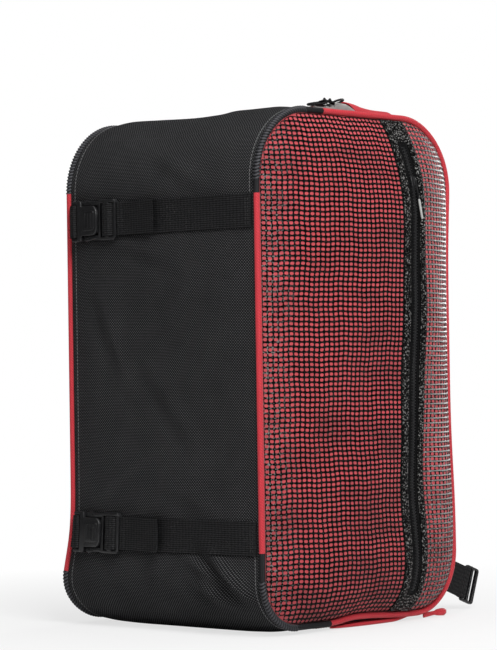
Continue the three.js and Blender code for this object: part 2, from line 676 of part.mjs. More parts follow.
// Red ribbon with a knob, sewn under the front piping at the lower right.
// at is X, height is its middle over the floor, half is half its height, thick is across it.
const END_TAB = [
  { at: 112, height: 3.3, half: 2.4, thick: 2.2 },
  { at: 122, height: 4.4, half: 2.6, thick: 2.2 },
  { at: 132, height: 5, half: 2.4, thick: 2.2 },
  { at: 138, height: 5.2, half: 3.6, thick: 5 },
  { at: 148, height: 5.2, half: 4.2, thick: 6.5 },
  { at: 153, height: 5.2, half: 2.6, thick: 4 },
];
const END_TAB_DEPTH = -149;
const END_TAB_LEVELS = [
  { level: -1, bulge: 0.25 },
  { level: -0.5, bulge: 0.5 },
  { level: 0.5, bulge: 0.5 },
  { level: 1, bulge: 0.25 },
];
const tabGrid = (side) => END_TAB.map(({ at, height, half, thick }) =>
  END_TAB_LEVELS.map(({ level, bulge }) =>
    new THREE.Vector3(at, END_TAB_DEPTH + side * thick * bulge, height + level * half)));
addMesh('zip_end_tab', closedShell(tabGrid(-1), tabGrid(1)), 'redTrim');

// Webbing tab and ladder lock at the lower right corner, in an upright plane behind the zip
const CORNER_TAB = { degrees: 20, share: 0.1, length: 62, thick: 3.4, ease: 0.5 };
const TAB_ROOT = { gap: 0.7, points: 8 };
const CORNER_LOCK = { halfLong: 12, halfWide: 22.5, thick: 5, corner: 4, ease: 0.9 };
const LOCK_SLOT = { at: 5, half: 3.2 };
const tabTurn = THREE.MathUtils.degToRad(CORNER_TAB.degrees);
const tabRoot = gussetPoint('right', { corner: 1, turn: tabTurn }, CORNER_TAB.share, WALL / 2);
const tabOut = new THREE.Vector3(Math.cos(tabTurn), 0, -Math.sin(tabTurn));
const tabAcross = new THREE.Vector3(Math.sin(tabTurn), 0, Math.cos(tabTurn));
const tabFacing = tabOut.clone().cross(tabAcross);
const tabFrame = new THREE.Matrix4().makeBasis(tabOut, tabAcross, tabFacing).setPosition(tabRoot);
const halfWebbing = WEBBING_WIDTH / 2;
const rootRadius = CORNERS.bottomRight + sectionAt(CORNER_TAB.share).round;
const tabPoints = [
  new THREE.Vector2(CORNER_TAB.length, -halfWebbing),
  new THREE.Vector2(CORNER_TAB.length, halfWebbing),
];
// The root follows the round corner
for (let k = 0; k <= TAB_ROOT.points; k++) {
  const across = mix(halfWebbing, -halfWebbing, k / TAB_ROOT.points);
  tabPoints.push(new THREE.Vector2(TAB_ROOT.gap - across ** 2 / (2 * rootRadius), across));
}
const tabGeometry = plate(new THREE.Shape(tabPoints), CORNER_TAB.thick, CORNER_TAB.ease);
tabGeometry.translate(0, 0, -CORNER_TAB.thick / 2);
addMesh('corner_tab', tabGeometry, 'webbing', tabFrame);

const lockShape = roundedOutline(CORNER_LOCK.halfLong, CORNER_LOCK.halfWide, CORNER_LOCK.corner);
lockShape.holes.push(slotAt(-LOCK_SLOT.at, LOCK_SLOT.half, SLOT_HALF_WIDE));
lockShape.holes.push(slotAt(LOCK_SLOT.at, LOCK_SLOT.half, SLOT_HALF_WIDE - SLOT_STEP));
const lockGeometry = plate(lockShape, CORNER_LOCK.thick, CORNER_LOCK.ease);
lockGeometry.translate(CORNER_TAB.length + GAP + CORNER_LOCK.halfLong, 0, -CORNER_LOCK.thick / 2);
addMesh('corner_lock', lockGeometry, 'plastic', tabFrame);

export default bag;
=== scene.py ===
from collections import namedtuple
from math import cos, pi, radians, sin

import bmesh
import bpy
import numpy as np
from mathutils import Matrix, Vector


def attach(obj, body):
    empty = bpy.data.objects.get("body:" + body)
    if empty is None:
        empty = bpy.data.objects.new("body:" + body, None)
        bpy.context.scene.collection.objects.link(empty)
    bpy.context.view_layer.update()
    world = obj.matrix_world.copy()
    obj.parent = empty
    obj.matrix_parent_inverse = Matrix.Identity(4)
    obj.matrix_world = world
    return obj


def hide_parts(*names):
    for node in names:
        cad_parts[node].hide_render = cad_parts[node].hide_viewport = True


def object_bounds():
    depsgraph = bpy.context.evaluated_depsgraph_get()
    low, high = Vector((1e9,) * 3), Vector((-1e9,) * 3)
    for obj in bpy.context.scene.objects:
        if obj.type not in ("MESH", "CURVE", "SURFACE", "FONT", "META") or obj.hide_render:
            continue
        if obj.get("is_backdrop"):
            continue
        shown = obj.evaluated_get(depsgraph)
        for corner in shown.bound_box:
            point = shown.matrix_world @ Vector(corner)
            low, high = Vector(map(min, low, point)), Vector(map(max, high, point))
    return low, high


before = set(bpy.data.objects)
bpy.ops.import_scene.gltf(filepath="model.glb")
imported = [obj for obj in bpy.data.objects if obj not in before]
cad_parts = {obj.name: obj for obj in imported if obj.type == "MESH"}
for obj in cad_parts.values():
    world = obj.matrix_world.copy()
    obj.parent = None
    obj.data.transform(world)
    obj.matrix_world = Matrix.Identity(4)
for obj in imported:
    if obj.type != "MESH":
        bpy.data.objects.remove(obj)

bl_info = {
    "name": "Dive Duffel Bag",
    "version": (1, 0, 0),
    "blender": (4, 5, 0),
    "location": "3D View > Sidebar > Duffel",
    "description": "Dresses the dive duffel bag in its cloth, net, piping, webbing and zips",
    "category": "Object",
}

CAD_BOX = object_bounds()
PICTURE_HIGH = 650  # pixels
BODY = "root"
CLOTH_MAP = "cloth"  # texture places on every soft piece, in metres along and across it


# Sizes and colours that a user may change

def length(name, description, default):
    """A size in metres."""
    return bpy.props.FloatProperty(
        name=name, description=description, default=default, unit="LENGTH", precision=5)


def colour(name, description, default):
    """A colour of a finish."""
    return bpy.props.FloatVectorProperty(
        name=name, description=description, default=default, subtype="COLOR", size=3, min=0, max=1)


def angle(name, description, degrees):
    """An angle, given in degrees."""
    return bpy.props.FloatProperty(
        name=name, description=description, default=radians(degrees), subtype="ANGLE")


def power(name, description, default):
    """A light's power in watts."""
    return bpy.props.FloatProperty(
        name=name, description=description, default=default, min=0, unit="POWER")


class DuffelBody(bpy.types.PropertyGroup):
    """Sizes of the body's cloth and seams."""
    seam_width: length("Seam width", "Between the left and right seams", 0.339)
    seam_depth: length("Seam depth", "Between the front and back seams", 0.300)
    seam_low: length("Lower seam", "Lower run of the seams above the floor", 0.008)
    seam_high: length("Upper seam", "Upper run of the seams above the floor", 0.5895)
    top_left: length("Top left", "Radius of the seams at the top left corner", 0.082)
    top_right: length("Top right", "Radius of the seams at the top right corner", 0.086)
    bottom_right: length("Bottom right", "Radius of the seams at the bottom right corner", 0.072)
    bottom_left: length("Bottom left", "Radius of the seams at the bottom left corner", 0.055)
    wall: length("Cloth", "Thickness of the cloth walls", 0.002)
    piping: length("Piping", "Diameter of the corded seams", 0.007)
    seam_gap: length("Seam gap", "Between the piping and the cloth beside it", 0.0005)
    front_crown: length("Front crown", "How far the front swells past its seam", 0.030)
    front_peak: length("Front peak", "Where the front swells most, right of the middle", 0.050)
    back_crown: length("Back crown", "How far the back swells past its seam", 0.009)
    cinch: length("Cinch", "How far the side straps press into the cloth", 0.003)


class DuffelNet(bpy.types.PropertyGroup):
    """Sizes of the coated net on the front."""
    pitch_across: length("Pitch across", "From strand to strand across the front", 0.0071)
    pitch_up: length("Pitch up", "From strand to strand up the front", 0.0056)
    upright: length("Upright strand", "Width of an upright strand", 0.0017)
    level: length("Level strand", "Width of a level strand", 0.0018)
    thick: length("Thickness", "Height of a strand's ridge", 0.0007)
    wander: length("Wander", "How far the strands stray from a straight line", 0.0005)


class DuffelTrim(bpy.types.PropertyGroup):
    """Sizes of the webbing, zips and stitches."""
    webbing_width: length("Webbing width", "Width of the straps", 0.038)
    webbing_thick: length("Webbing thickness", "Thickness of the straps", 0.0016)
    upper_strap: length("Upper strap", "Height of the upper side strap", 0.473)
    lower_strap: length("Lower strap", "Height of the lower side strap", 0.110)
    buckle_depth: length("Buckle depth", "Buckle centre behind the middle of the bag", 0.095)
    tail: length("Strap tail", "Doubled back end of a side strap", 0.062)
    tail_lift: length("Tail lift", "How far the free end of a strap stands up", 0.005)
    pocket_x: length("Pocket zip", "Upright pocket zip right of the middle", 0.0615)
    tape_half: length("Tape half width", "Half the width of the pocket zip's tape", 0.0088)
    binding_inner: length("Binding inner", "Inner edge of a binding from the zip", 0.0092)
    binding_outer: length("Binding outer", "Outer edge of a binding from the zip", 0.020)
    binding_thick: length("Binding thickness", "How far a binding stands up", 0.0032)
    tape_thick: length("Tape thickness", "Thickness of tapes", 0.0011)
    gap: length("Gap", "Clearance between neighbouring pieces", 0.0003)
    stitch: length("Stitch", "Length of a stitch", 0.0034)
    thread: length("Thread", "Diameter of the sewing thread", 0.0009)


class DuffelColours(bpy.types.PropertyGroup):
    """Colours of the finishes."""
    red_cloth: colour("Red cloth", "Cloth under the net", (0.93, 0.098, 0.120))
    red_tape: colour("Red tape", "Red piping, zip tape and ribbon", (0.80, 0.030, 0.048))
    black_cloth: colour("Black cloth", "Coarse weave of the body", (0.012, 0.012, 0.0125))
    black_tape: colour("Black tape", "Bindings, pocket tape and ribbed corners", (0.005, 0.005, 0.0055))
    net: colour("Net", "Coated net", (0.003, 0.003, 0.003))
    webbing: colour("Webbing", "Straps and zip pulls", (0.008, 0.008, 0.0085))
    plastic: colour("Plastic", "Buckles and sliders", (0.006, 0.006, 0.007))
    coil: colour("Zip coil", "Teeth of the main zip", (0.36, 0.35, 0.34))
    pale_pull: colour("Pale pull", "Pull of the pocket zip", (0.42, 0.42, 0.41))
    thread: colour("Thread", "Sewing thread", (0.20, 0.20, 0.205))
    floor: colour("Floor", "Pale floor", (0.86, 0.86, 0.86))


class DuffelStage(bpy.types.PropertyGroup):
    """Where the camera stands and how strong the lights are."""
    azimuth: angle("Azimuth", "Camera's turn from the front towards the left side", 47.30)
    distance: length("Distance", "Camera from the middle of the bag", 3.100)
    eye_height: length("Eye height", "Camera above the floor", 0.2974)
    side_step: length("Side step", "Camera's shift to its right", -0.0159)
    pitch: angle("Pitch", "How far the camera looks up", 0.97)
    roll: angle("Roll", "Camera's turn about its view line", -0.87)
    focal: bpy.props.FloatProperty(
        name="Focal length", description="In pixels of the picture", default=2605.4, subtype="PIXEL")
    key: power("Key light", "Large soft light at the front left", 58.0)
    edge: power("Edge light", "Soft light from the right and behind", 20.0)
    side: power("Side light", "Soft light on the left side", 5.0)
    overhead: power("Overhead light", "Soft light from above", 20.0)
    ambient: bpy.props.FloatProperty(
        name="Ambient", description="Light from all round", default=0.08, min=0)


SETTINGS = {
    "duffel_body": DuffelBody,
    "duffel_net": DuffelNet,
    "duffel_trim": DuffelTrim,
    "duffel_colours": DuffelColours,
    "duffel_stage": DuffelStage,
}


def body():
    return bpy.context.scene.duffel_body


def trim():
    return bpy.context.scene.duffel_trim


def colours():
    return bpy.context.scene.duffel_colours


def net_sizes():
    return bpy.context.scene.duffel_net


def strap_heights():
    return {"upper": trim().upper_strap, "lower": trim().lower_strap}


# Form of the body, in the frame of the CAD model

def table(keys, rows):
    """Rows with their columns named."""
    return [dict(zip(keys.split(), row)) for row in rows]


# Gusset sections from the front seam to the back seam. share is the part of the depth; side,
# top and bottom are how far the cloth stands out there, and round is added to the corner radii.
SECTIONS = table("share side top bottom round", [
    (0.00, 0.000, 0.000, 0.000, 0.000),
    (0.05, 0.003, 0.003, 0.004, 0.005),
    (0.12, 0.006, 0.005, 0.006, 0.009),
    (0.25, 0.009, 0.005, 0.007, 0.012),
    (0.50, 0.012, 0.002, 0.007, 0.014),
    (0.75, 0.009, 0.004, 0.007, 0.012),
    (0.88, 0.006, 0.005, 0.006, 0.009),
    (0.95, 0.003, 0.003, 0.004, 0.005),
    (1.00, 0.000, 0.000, 0.000, 0.000),
])

# Soft hollows in the gusset. at is the height on an upright run or X on a level one.
HOLLOWS = table("run at share depth long wide", [
    ("left", 0.300, 0.55, 0.007, 0.115, 0.24),
    ("left", 0.215, 0.20, 0.004, 0.060, 0.12),
    ("right", 0.330, 0.50, 0.005, 0.120, 0.22),
    ("top", 0.025, 0.55, 0.007, 0.080, 0.25),
])

# Creases in the gusset: where each one lies, its turn from the run, half length, width and rise
CREASES = table("run at share turn long wide rise", [
    ("left", 0.066, 0.13, 48, 0.044, 0.008, 0.0095),
    ("left", 0.046, 0.22, 56, 0.036, 0.008, 0.0080),
    ("left", 0.074, 0.27, 62, 0.030, 0.007, 0.0050),
    ("left", 0.068, 0.52, -30, 0.034, 0.008, 0.0022),
    ("left", 0.150, 0.30, 68, 0.045, 0.010, 0.0022),
    ("left", 0.170, 0.66, -62, 0.052, 0.010, 0.0024),
    ("left", 0.255, 0.42, 40, 0.060, 0.012, 0.0022),
    ("left", 0.330, 0.74, 24, 0.060, 0.012, 0.0026),
    ("left", 0.390, 0.34, -44, 0.055, 0.011, 0.0022),
    ("left", 0.437, 0.58, 74, 0.050, 0.009, 0.0022),
    ("left", 0.528, 0.40, 64, 0.042, 0.009, 0.0022),
    ("right", 0.080, 0.26, 48, 0.045, 0.008, 0.0026),
    ("right", 0.180, 0.62, -50, 0.060, 0.011, 0.0026),
    ("right", 0.330, 0.38, 35, 0.070, 0.012, 0.0026),
    ("right", 0.450, 0.66, 58, 0.060, 0.011, 0.0026),
    ("top", -0.060, 0.45, 48, 0.050, 0.010, 0.0024),
    ("top", 0.040, 0.72, -40, 0.050, 0.010, 0.0024),
    ("top", 0.085, 0.34, 66, 0.045, 0.009, 0.0022),
])

CREASE_FOOT = (0.026, 0.050)  # heights between which the upright creases fade out at the foot
CREASE_DIP = {"at": 1.5, "part": 0.7}  # trough beside a crease, in its widths and parts of its rise
SINK_EDGE = 0.06  # share of the depth over which hollows and creases die out at the seams
STRAP_PULL = 0.7  # reach of a strap's pull on the cloth, in webbing widths

# The loaded bag spreads at its back foot
SLUMP = {"height": 0.040, "reach": 0.055, "outward": 0.008, "backward": 0.008}

# The right front seam is drawn in at mid height
WAIST = {"height": 0.330, "reach": 0.165, "from": 0.060, "inward": 0.0065}

# The lower front seam bows up between the end of the main zip and the right corner
BOW = {"from": -0.062, "top": -0.012, "to": 0.090, "rise": 0.0042, "fades": 0.070}

# Slow swell of the front and the back: wave length across and up, phase and rise
SWELLS = table("across up phase rise", [
    (1.200, 0.500, 2.07, 0.0050),
    (-0.150, 0.210, 2.1, 0.0009),
    (0.330, -0.140, 4.0, 0.0009),
])
SWELL_END = (0.085, 0.140)  # X between which the swell dies out towards the right seam

# Powers of the crowns' fall to the left and right seams and to the lower and upper ones
CROWN_POWER = {"front": (2.5, 4.2), "back": (2.4, 2.4), "upright": (12.0, 8.0)}

# The four runs of the outline, each from mid corner to mid corner, clockwise from the front,
# with the way that each one goes and the way out of the cloth, as X and Z, and its two corners
RUNS = {
    "left": ((0, 1), (-1, 0), ("bottom_left", "top_left")),
    "top": ((1, 0), (0, 1), ("top_left", "top_right")),
    "right": ((0, -1), (1, 0), ("top_right", "bottom_right")),
    "bottom": ((-1, 0), (0, -1), ("bottom_right", "bottom_left")),
}
FRONT, BACK = -1, 1


def unit(vectors):
    return vectors / np.maximum(np.linalg.norm(vectors, axis=-1, keepdims=True), 1e-12)


def smooth_step(x, low, high):
    t = np.clip((x - low) / (high - low), 0, 1)
    return t * t * (3 - 2 * t)


def smooth_curve(x, stops, values):
    """A smooth curve through a table's rows that never swings past them."""
    stops, values = np.asarray(stops, float), np.asarray(values, float)
    slope = np.diff(values) / np.diff(stops)
    same_way = slope[:-1] * slope[1:] > 0
    total = np.where(same_way, slope[:-1] + slope[1:], 1)
    inner = np.where(same_way, 2 * slope[:-1] * slope[1:] / total, 0)
    tangent = np.concatenate([slope[:1], inner, slope[-1:]])
    k = np.clip(np.searchsorted(stops, x, side="right") - 1, 0, len(slope) - 1)
    width = stops[k + 1] - stops[k]
    t = np.clip((x - stops[k]) / width, 0, 1)
    rest = 1 - t
    ends = (1 + 2 * t) * rest ** 2 * values[k] + t * t * (3 - 2 * t) * values[k + 1]
    return ends + width * t * rest * (rest * tangent[k] - t * tangent[k + 1])


def section(column, share):
    return smooth_curve(share, [row["share"] for row in SECTIONS], [row[column] for row in SECTIONS])


def edge():
    """From the seam line to the cloth beside the piping."""
    return body().piping / 2 + body().seam_gap


def half_width():
    """From the middle of the front or back panel to its edge."""
    return body().seam_width / 2 - edge()


def depth_at(share):
    inner = body().seam_depth / 2 - edge()
    return -inner + 2 * inner * share


def share_at(depth):
    inner = body().seam_depth / 2 - edge()
    return (depth + inner) / (2 * inner)


def settle(points):
    """The spread of the loaded bag at its back foot, and the waist of its right front seam."""
    waist = np.exp(-((points[..., 2] - WAIST["height"]) / WAIST["reach"]) ** 4)
    waist = waist * smooth_step(points[..., 0], WAIST["from"], body().seam_width / 2)
    points[..., 0] -= WAIST["inward"] * waist * smooth_step(-points[..., 1], 0, body().seam_depth / 2)
    low = np.exp(-((points[..., 2] - SLUMP["height"]) / SLUMP["reach"]) ** 2)
    back = smooth_step(points[..., 1], 0, body().seam_depth / 2)
    points[..., 0] *= 1 + SLUMP["outward"] / (body().seam_width / 2) * low * back
    points[..., 1] += SLUMP["backward"] * low * back
    return points


def crease(row, at, share):
    """How far a crease lifts the cloth."""
    turn = radians(row["turn"])
    run_way = at - row["at"]
    deep_way = (share - row["share"]) * body().seam_depth
    length_way = run_way * cos(turn) + deep_way * sin(turn)
    cross_way = (deep_way * cos(turn) - run_way * sin(turn)) / row["wide"]
    dip = CREASE_DIP["part"] * np.exp(-(cross_way - CREASE_DIP["at"]) ** 2)
    lifted = row["rise"] * (np.exp(-cross_way ** 2) - dip) * np.exp(-(length_way / row["long"]) ** 2)
    if row["run"] in ("left", "right"):
        lifted = lifted * smooth_step(at, *CREASE_FOOT)
    return lifted


def sink(run, at, share):
    """How far the cloth lies under its full form: hollows, creases and the pull of the straps."""
    deep = np.zeros(np.broadcast(at, share).shape)
    for row in HOLLOWS:
        if row["run"] == run:
            far = ((at - row["at"]) / row["long"]) ** 2 + ((share - row["share"]) / row["wide"]) ** 2
            deep = deep + row["depth"] * np.exp(-far)
    for row in CREASES:
        if row["run"] == run:
            deep = deep - crease(row, at, share)
    if run == "left":
        for height in strap_heights().values():
            pull = np.exp(-((at - height) / (STRAP_PULL * trim().webbing_width)) ** 4)
            deep = deep + body().cinch * pull * 4 * share * (1 - share)
    return deep * smooth_step(share, 0, SINK_EDGE) * smooth_step(1 - share, 0, SINK_EDGE)


def outline(share):
    """Lower and upper end, half width and added corner radius of a gusset section."""
    low = body().seam_low - section("bottom", share)
    high = body().seam_high + section("top", share)
    half = body().seam_width / 2 + section("side", share)
    return low, high, half, section("round", share)


def corner_radius(corner):
    return getattr(body(), corner)


def place_on(run, place, share):
    """Distance along a run from its middle: of a mid corner, or of a height or X on its straight part."""
    low, high, half, added = outline(np.asarray(share, float))
    along, _, corners = RUNS[run]
    upright = along[0] == 0
    if isinstance(place, str):
        reach = (high - low) / 2 if upright else half
        side = 1 if place == "end" else -1
        radius = corner_radius(corners[side > 0]) + added
        return side * (reach - radius * (1 - pi / 4))
    return sum(along) * (place - ((low + high) / 2 if upright else 0 * low))


def gusset(run, along, share, outset, depth=None):
    """Points on the gusset at distances along a run, shares of the depth and heights over the cloth."""
    along, share, outset = np.broadcast_arrays(along, np.asarray(share, float), outset)
    low, high, half, added = outline(share)
    (along_x, along_z), (out_x, out_z), (first, last) = RUNS[run]
    radius = np.where(along < 0, corner_radius(first), corner_radius(last)) + added
    upright = along_x == 0
    centre = (low + high) / 2
    reach, stand = ((high - low) / 2, half) if upright else (half, (high - low) / 2)
    straight = reach - radius
    turn = np.sign(along) * np.clip(np.abs(along) - straight, 0, None) / radius
    a = np.clip(along, -straight, straight) + radius * np.sin(turn)
    b = stand - radius * (1 - np.cos(turn))
    x = along_x * a + out_x * b
    z = centre + along_z * a + out_z * b
    move = outset - sink(run, z if upright else x, share)
    x = x + (out_x * np.cos(turn) + along_x * np.sin(turn)) * move
    z = z + (out_z * np.cos(turn) + along_z * np.sin(turn)) * move
    y = depth_at(share) if depth is None else np.full_like(x, depth)
    return settle(np.stack([x, y, z], -1))


def gusset_grid(stretches, shares, outset, step, depth=None):
    """A grid of points on the gusset over stretches of (run, from, to), with a row every step."""
    shares = np.asarray(shares, float)
    rows = []
    for run, first, last in stretches:
        begin, end = (place_on(run, place, shares) for place in (first, last))
        count = max(2, round(float(np.abs(end - begin).max()) / step)) + 1
        t = np.linspace(0, 1, count)[1 if rows else 0:, None]
        rows.append(gusset(run, begin + (end - begin) * t, shares, outset, depth))
    return np.concatenate(rows)


def corner_drop(x, left, right):
    """How far the round corners draw in the edge of a panel at X."""
    radius = np.where(x < 0, corner_radius(left), corner_radius(right)) - edge()
    over = np.clip(np.abs(x) - (half_width() - radius), 0, radius)
    return radius - np.sqrt(radius ** 2 - over ** 2)


def bow(x):
    """How far the lower front seam is bowed up at X."""
    up = smooth_step(x, BOW["from"], BOW["top"])
    return BOW["rise"] * up * smooth_step(-x, -BOW["to"], -BOW["top"])


def panel_ends(x, facing=FRONT):
    """Lower and upper end of the front or back panel at X."""
    low = body().seam_low + edge() + corner_drop(x, "bottom_left", "bottom_right")
    if facing == FRONT:
        low = low + bow(x)
    return low, body().seam_high - edge() - corner_drop(x, "top_left", "top_right")


def panel(x, z, facing, outset):
    """Points on the front or back panel at X, at a height, at a distance over the cloth."""
    x, z, outset = np.broadcast_arrays(x, z, outset)
    low, high = panel_ends(x, facing)
    row = np.clip((z - low) / np.maximum(high - low, 1e-9), 0, 1)
    half = half_width()
    if facing == FRONT:
        rise, peak, (left, right) = body().front_crown, body().front_peak, CROWN_POWER["front"]
    else:
        rise, peak, (left, right) = body().back_crown, 0.0, CROWN_POWER["back"]
    away = np.clip(np.abs(x - peak) / np.where(x < peak, half + peak, half - peak), 0, 1)
    across = 1 - away ** np.where(x < peak, left, right)
    upright = 1 - np.abs(2 * row - 1) ** np.where(row < 0.5, *CROWN_POWER["upright"])
    crown = rise * across * upright
    inside = across * upright * (1 - smooth_step(x, *SWELL_END))
    for swell in SWELLS:
        wave = np.sin(2 * pi * (x / swell["across"] + z / swell["up"]) + swell["phase"])
        crown = crown + swell["rise"] * wave * inside
    y = facing * (body().seam_depth / 2 + crown + outset)
    return settle(np.stack([x, y, z], -1))


def panel_grid(columns, rows, facing, outset):
    """A grid of points over columns of X and rows from the panel's lower end (0) to its upper (1)."""
    x = np.asarray(columns, float)[:, None]
    low, high = panel_ends(x, facing)
    return panel(x, low + (high - low) * np.asarray(rows, float), facing, outset)


def on_cloth():
    """From the middle of the cloth to what lies on it."""
    return body().wall / 2 + trim().gap


def on_tape():
    """From the middle of the cloth to what lies on a tape on it."""
    return on_cloth() + trim().tape_thick + trim().gap


def front_heights():
    """Lowest and highest end of the front panel."""
    return body().seam_low + edge(), body().seam_high - edge()


# Meshes from arrays

# Angles between faces, in degrees, above which the edges of a kind of piece are shaded sharp
SHARP = {"cloth": 40, "round": 60, "webbing": 50, "moulded": 32}
ROD_LENGTH = 0.003  # length that the texture places of a short bar cover


def put(name, data):
    """A new object in the scene."""
    made = bpy.data.objects.new(name, data)
    bpy.context.scene.collection.objects.link(made)
    return made


def dress(mesh, name, finish, slot, replaces, sharp):
    """Puts a mesh in the scene as a piece with its finish."""
    mesh.shade_smooth()
    mesh.set_sharp_from_angle(angle=radians(SHARP[sharp]))
    mesh.materials.append(finish())
    made = put(name, mesh)
    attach(made, BODY)
    if replaces:
        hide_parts(*replaces)


def outward(points, faces, places):
    """A closed body with its faces turned outwards."""
    corners = points[faces]
    halves = np.concatenate([corners[:, [0, 1, 2]], corners[:, [0, 2, 3]]])
    volume = np.einsum("ij,ij->", halves[:, 0], np.cross(halves[:, 1], halves[:, 2]))
    if volume < 0:
        return points, faces[:, ::-1], places[:, ::-1]
    return points, faces, places


def soft_piece(name, forms, finish, slot, replaces=(), sharp="cloth"):
    """A piece of closed bodies, each given as points, four-sided faces and texture places."""
    points, faces, places = zip(*(outward(*form) for form in forms))
    starts = np.cumsum([0, *(len(part) for part in points)])
    faces = np.concatenate([part + start for part, start in zip(faces, starts)])
    mesh = bpy.data.meshes.new(name)
    mesh.from_pydata(np.concatenate(points).tolist(), [], faces.tolist())
    layer = mesh.uv_layers.new(name=CLOTH_MAP)
    layer.uv.foreach_set("vector", np.concatenate(places).astype(np.float32).ravel())
    dress(mesh, name, finish, slot, replaces, sharp)


def run_lengths(points):
    """Distance travelled along the first axis of an array of points."""
    steps = np.linalg.norm(np.diff(points, axis=0), axis=-1)
    return np.concatenate([np.zeros((1,) + steps.shape[1:]), np.cumsum(steps, 0)])


def shell(outer, inner):
    """A closed wall between two grids of points."""
    rows, columns = outer.shape[:2]
    top = np.arange(rows * columns).reshape(rows, columns)
    low = top + rows * columns
    along = run_lengths(outer[:, columns // 2])[:, None] + np.zeros(columns)
    across = run_lengths(outer[rows // 2])[None] + np.zeros((rows, 1))
    place = np.tile(np.stack([along, across], -1).reshape(-1, 2), (2, 1))
    ring = np.concatenate([top[0, :-1], top[:-1, -1], top[-1, :0:-1], top[:0:-1, 0]])
    after = np.roll(ring, -1)
    faces = np.concatenate([
        np.stack([top[:-1, :-1], top[1:, :-1], top[1:, 1:], top[:-1, 1:]], -1).reshape(-1, 4),
        np.stack([low[:-1, :-1], low[:-1, 1:], low[1:, 1:], low[1:, :-1]], -1).reshape(-1, 4),
        np.stack([ring, after, after + rows * columns, ring + rows * columns], -1),
    ])
    points = np.concatenate([outer.reshape(-1, 3), inner.reshape(-1, 3)])
    return points, faces, place[faces]


def strip(middle, thick):
    """A closed band of a given thickness about a grid of points."""
    normal = unit(np.cross(np.gradient(middle, axis=0), np.gradient(middle, axis=1)))
    return shell(middle + normal * thick / 2, middle - normal * thick / 2)


def cap_faces(ring):
    """Four-sided faces that close an even ring of points."""
    half = len(ring) // 2
    return np.stack([ring[:half - 1], ring[1:half], ring[half:-1][::-1], ring[half + 1:][::-1]], -1)


def end_faces(count, sides):
    """Faces that close both ends of a bar of a number of rings."""
    first = np.arange(sides)
    return np.concatenate([cap_faces(first)[:, ::-1], cap_faces(first + (count - 1) * sides)])


def ring_points(path, tangent, flat_way, radii, sides):
    """Rings of points round one path or many, as one list."""
    side = unit(np.cross(tangent, flat_way))[..., None, :]
    rise = unit(np.cross(side[..., 0, :], tangent))[..., None, :]
    turn = np.arange(sides) * 2 * pi / sides
    ring = side * np.cos(turn)[:, None] + rise * np.sin(turn)[:, None]
    return (path[..., None, :] + radii[..., None] * ring).reshape(-1, 3)


def ring_faces(rows, count, sides):
    """Faces from each of some rings to the one after it, of a number of rings that may close."""
    here, then = rows * sides, (rows + 1) % count * sides
    columns = np.arange(sides)[None]
    right = (columns + 1) % sides
    return np.stack([here + columns, here + right, then + right, then + columns], -1).reshape(-1, 4)


def tube(path, radii, sides, flat_way, closed=False, lead=0.0):
    """A bar along a path that lies flat across flat_way, with one radius or one for each point.

    lead shifts the texture places along the bar, for each side of it.
    """
    count = len(path)
    if closed:
        tangent = np.roll(path, -1, 0) - np.roll(path, 1, 0)
    else:
        tangent = np.gradient(path, axis=0)
    radii = np.broadcast_to(radii, (count, sides))
    points = ring_points(path, tangent, flat_way, radii, sides)
    rows = np.arange(count if closed else count - 1)[:, None]
    columns = np.arange(sides)[None]
    faces = ring_faces(rows, count, sides)
    along = run_lengths(path)
    along = np.append(along, along[-1] + np.linalg.norm(path[0] - path[-1]))
    girth = float(radii.mean()) * 2 * pi / sides
    corner_row = np.stack([rows, rows, rows + 1, rows + 1], -1) + 0 * columns[..., None]
    corner_side = np.stack([columns, columns + 1, columns + 1, columns], -1) + 0 * rows[..., None]
    lead = np.broadcast_to(lead, sides + 1)
    places = np.stack([along[corner_row] + lead[corner_side], corner_side * girth], -1).reshape(-1, 4, 2)
    if not closed:
        ends = end_faces(count, sides)
        faces = np.concatenate([faces, ends])
        places = np.concatenate([places, np.zeros((len(ends), 4, 2))])
    return points, faces, places


def rods(lines, normals, radii, sides=6):
    """Many short bars, each along its own line of points, as one set of arrays."""
    many, count = lines.shape[:2]
    points = ring_points(lines, unit(np.gradient(lines, axis=1)), normals, np.asarray(radii)[:, None], sides)
    rows = np.arange(count - 1)[:, None]
    one = np.concatenate([ring_faces(rows, count, sides), end_faces(count, sides)])
    faces = (one[None] + (np.arange(many) * count * sides)[:, None, None]).reshape(-1, 4)
    along = np.repeat(np.tile(np.linspace(0, 1, count), many), sides) * ROD_LENGTH
    places = np.stack([along, np.zeros(len(along))], -1)[faces]
    return points, faces, places


# One stitch, in stitch lengths along it and thread widths up from the cloth and across
STITCH = {
    "pitch": 1.28,
    "along": np.array([0, 0.22, 0.78, 1]),
    "rise": np.array([-0.35, 0.25, 0.25, -0.35]),
    "radius": np.array([0.34, 0.5, 0.5, 0.34]),
}
STITCH_STEP = 0.002  # from point to point of a line that stitches follow
STITCH_LIFTS = (0, 0.001)  # heights of such a line and of the one that shows the way out of the cloth


def stitches(line, lifted):
    """Raised stitches along a dense line of points on the cloth, with the same line lifted off it."""
    travelled = run_lengths(line)
    stitch, thread = trim().stitch, trim().thread
    starts = np.arange(stitch / 2, travelled[-1] - stitch, stitch * STITCH["pitch"])
    spots = starts[:, None] + STITCH["along"] * stitch
    centre, normal = (
        np.stack([np.interp(spots, travelled, values[:, k]) for k in range(3)], -1)
        for values in (line, unit(lifted - line)))
    normal = unit(normal)
    return rods(centre + normal * STITCH["rise"][:, None] * thread, normal, STITCH["radius"] * thread)


def gusset_stitches(stretches, share, outset):
    """Stitches round the gusset at one share of its depth."""
    return stitches(*(
        gusset_grid(stretches, [share], outset + lift, STITCH_STEP)[:, 0] for lift in STITCH_LIFTS))


# Hard pieces, drawn flat and set on the cloth

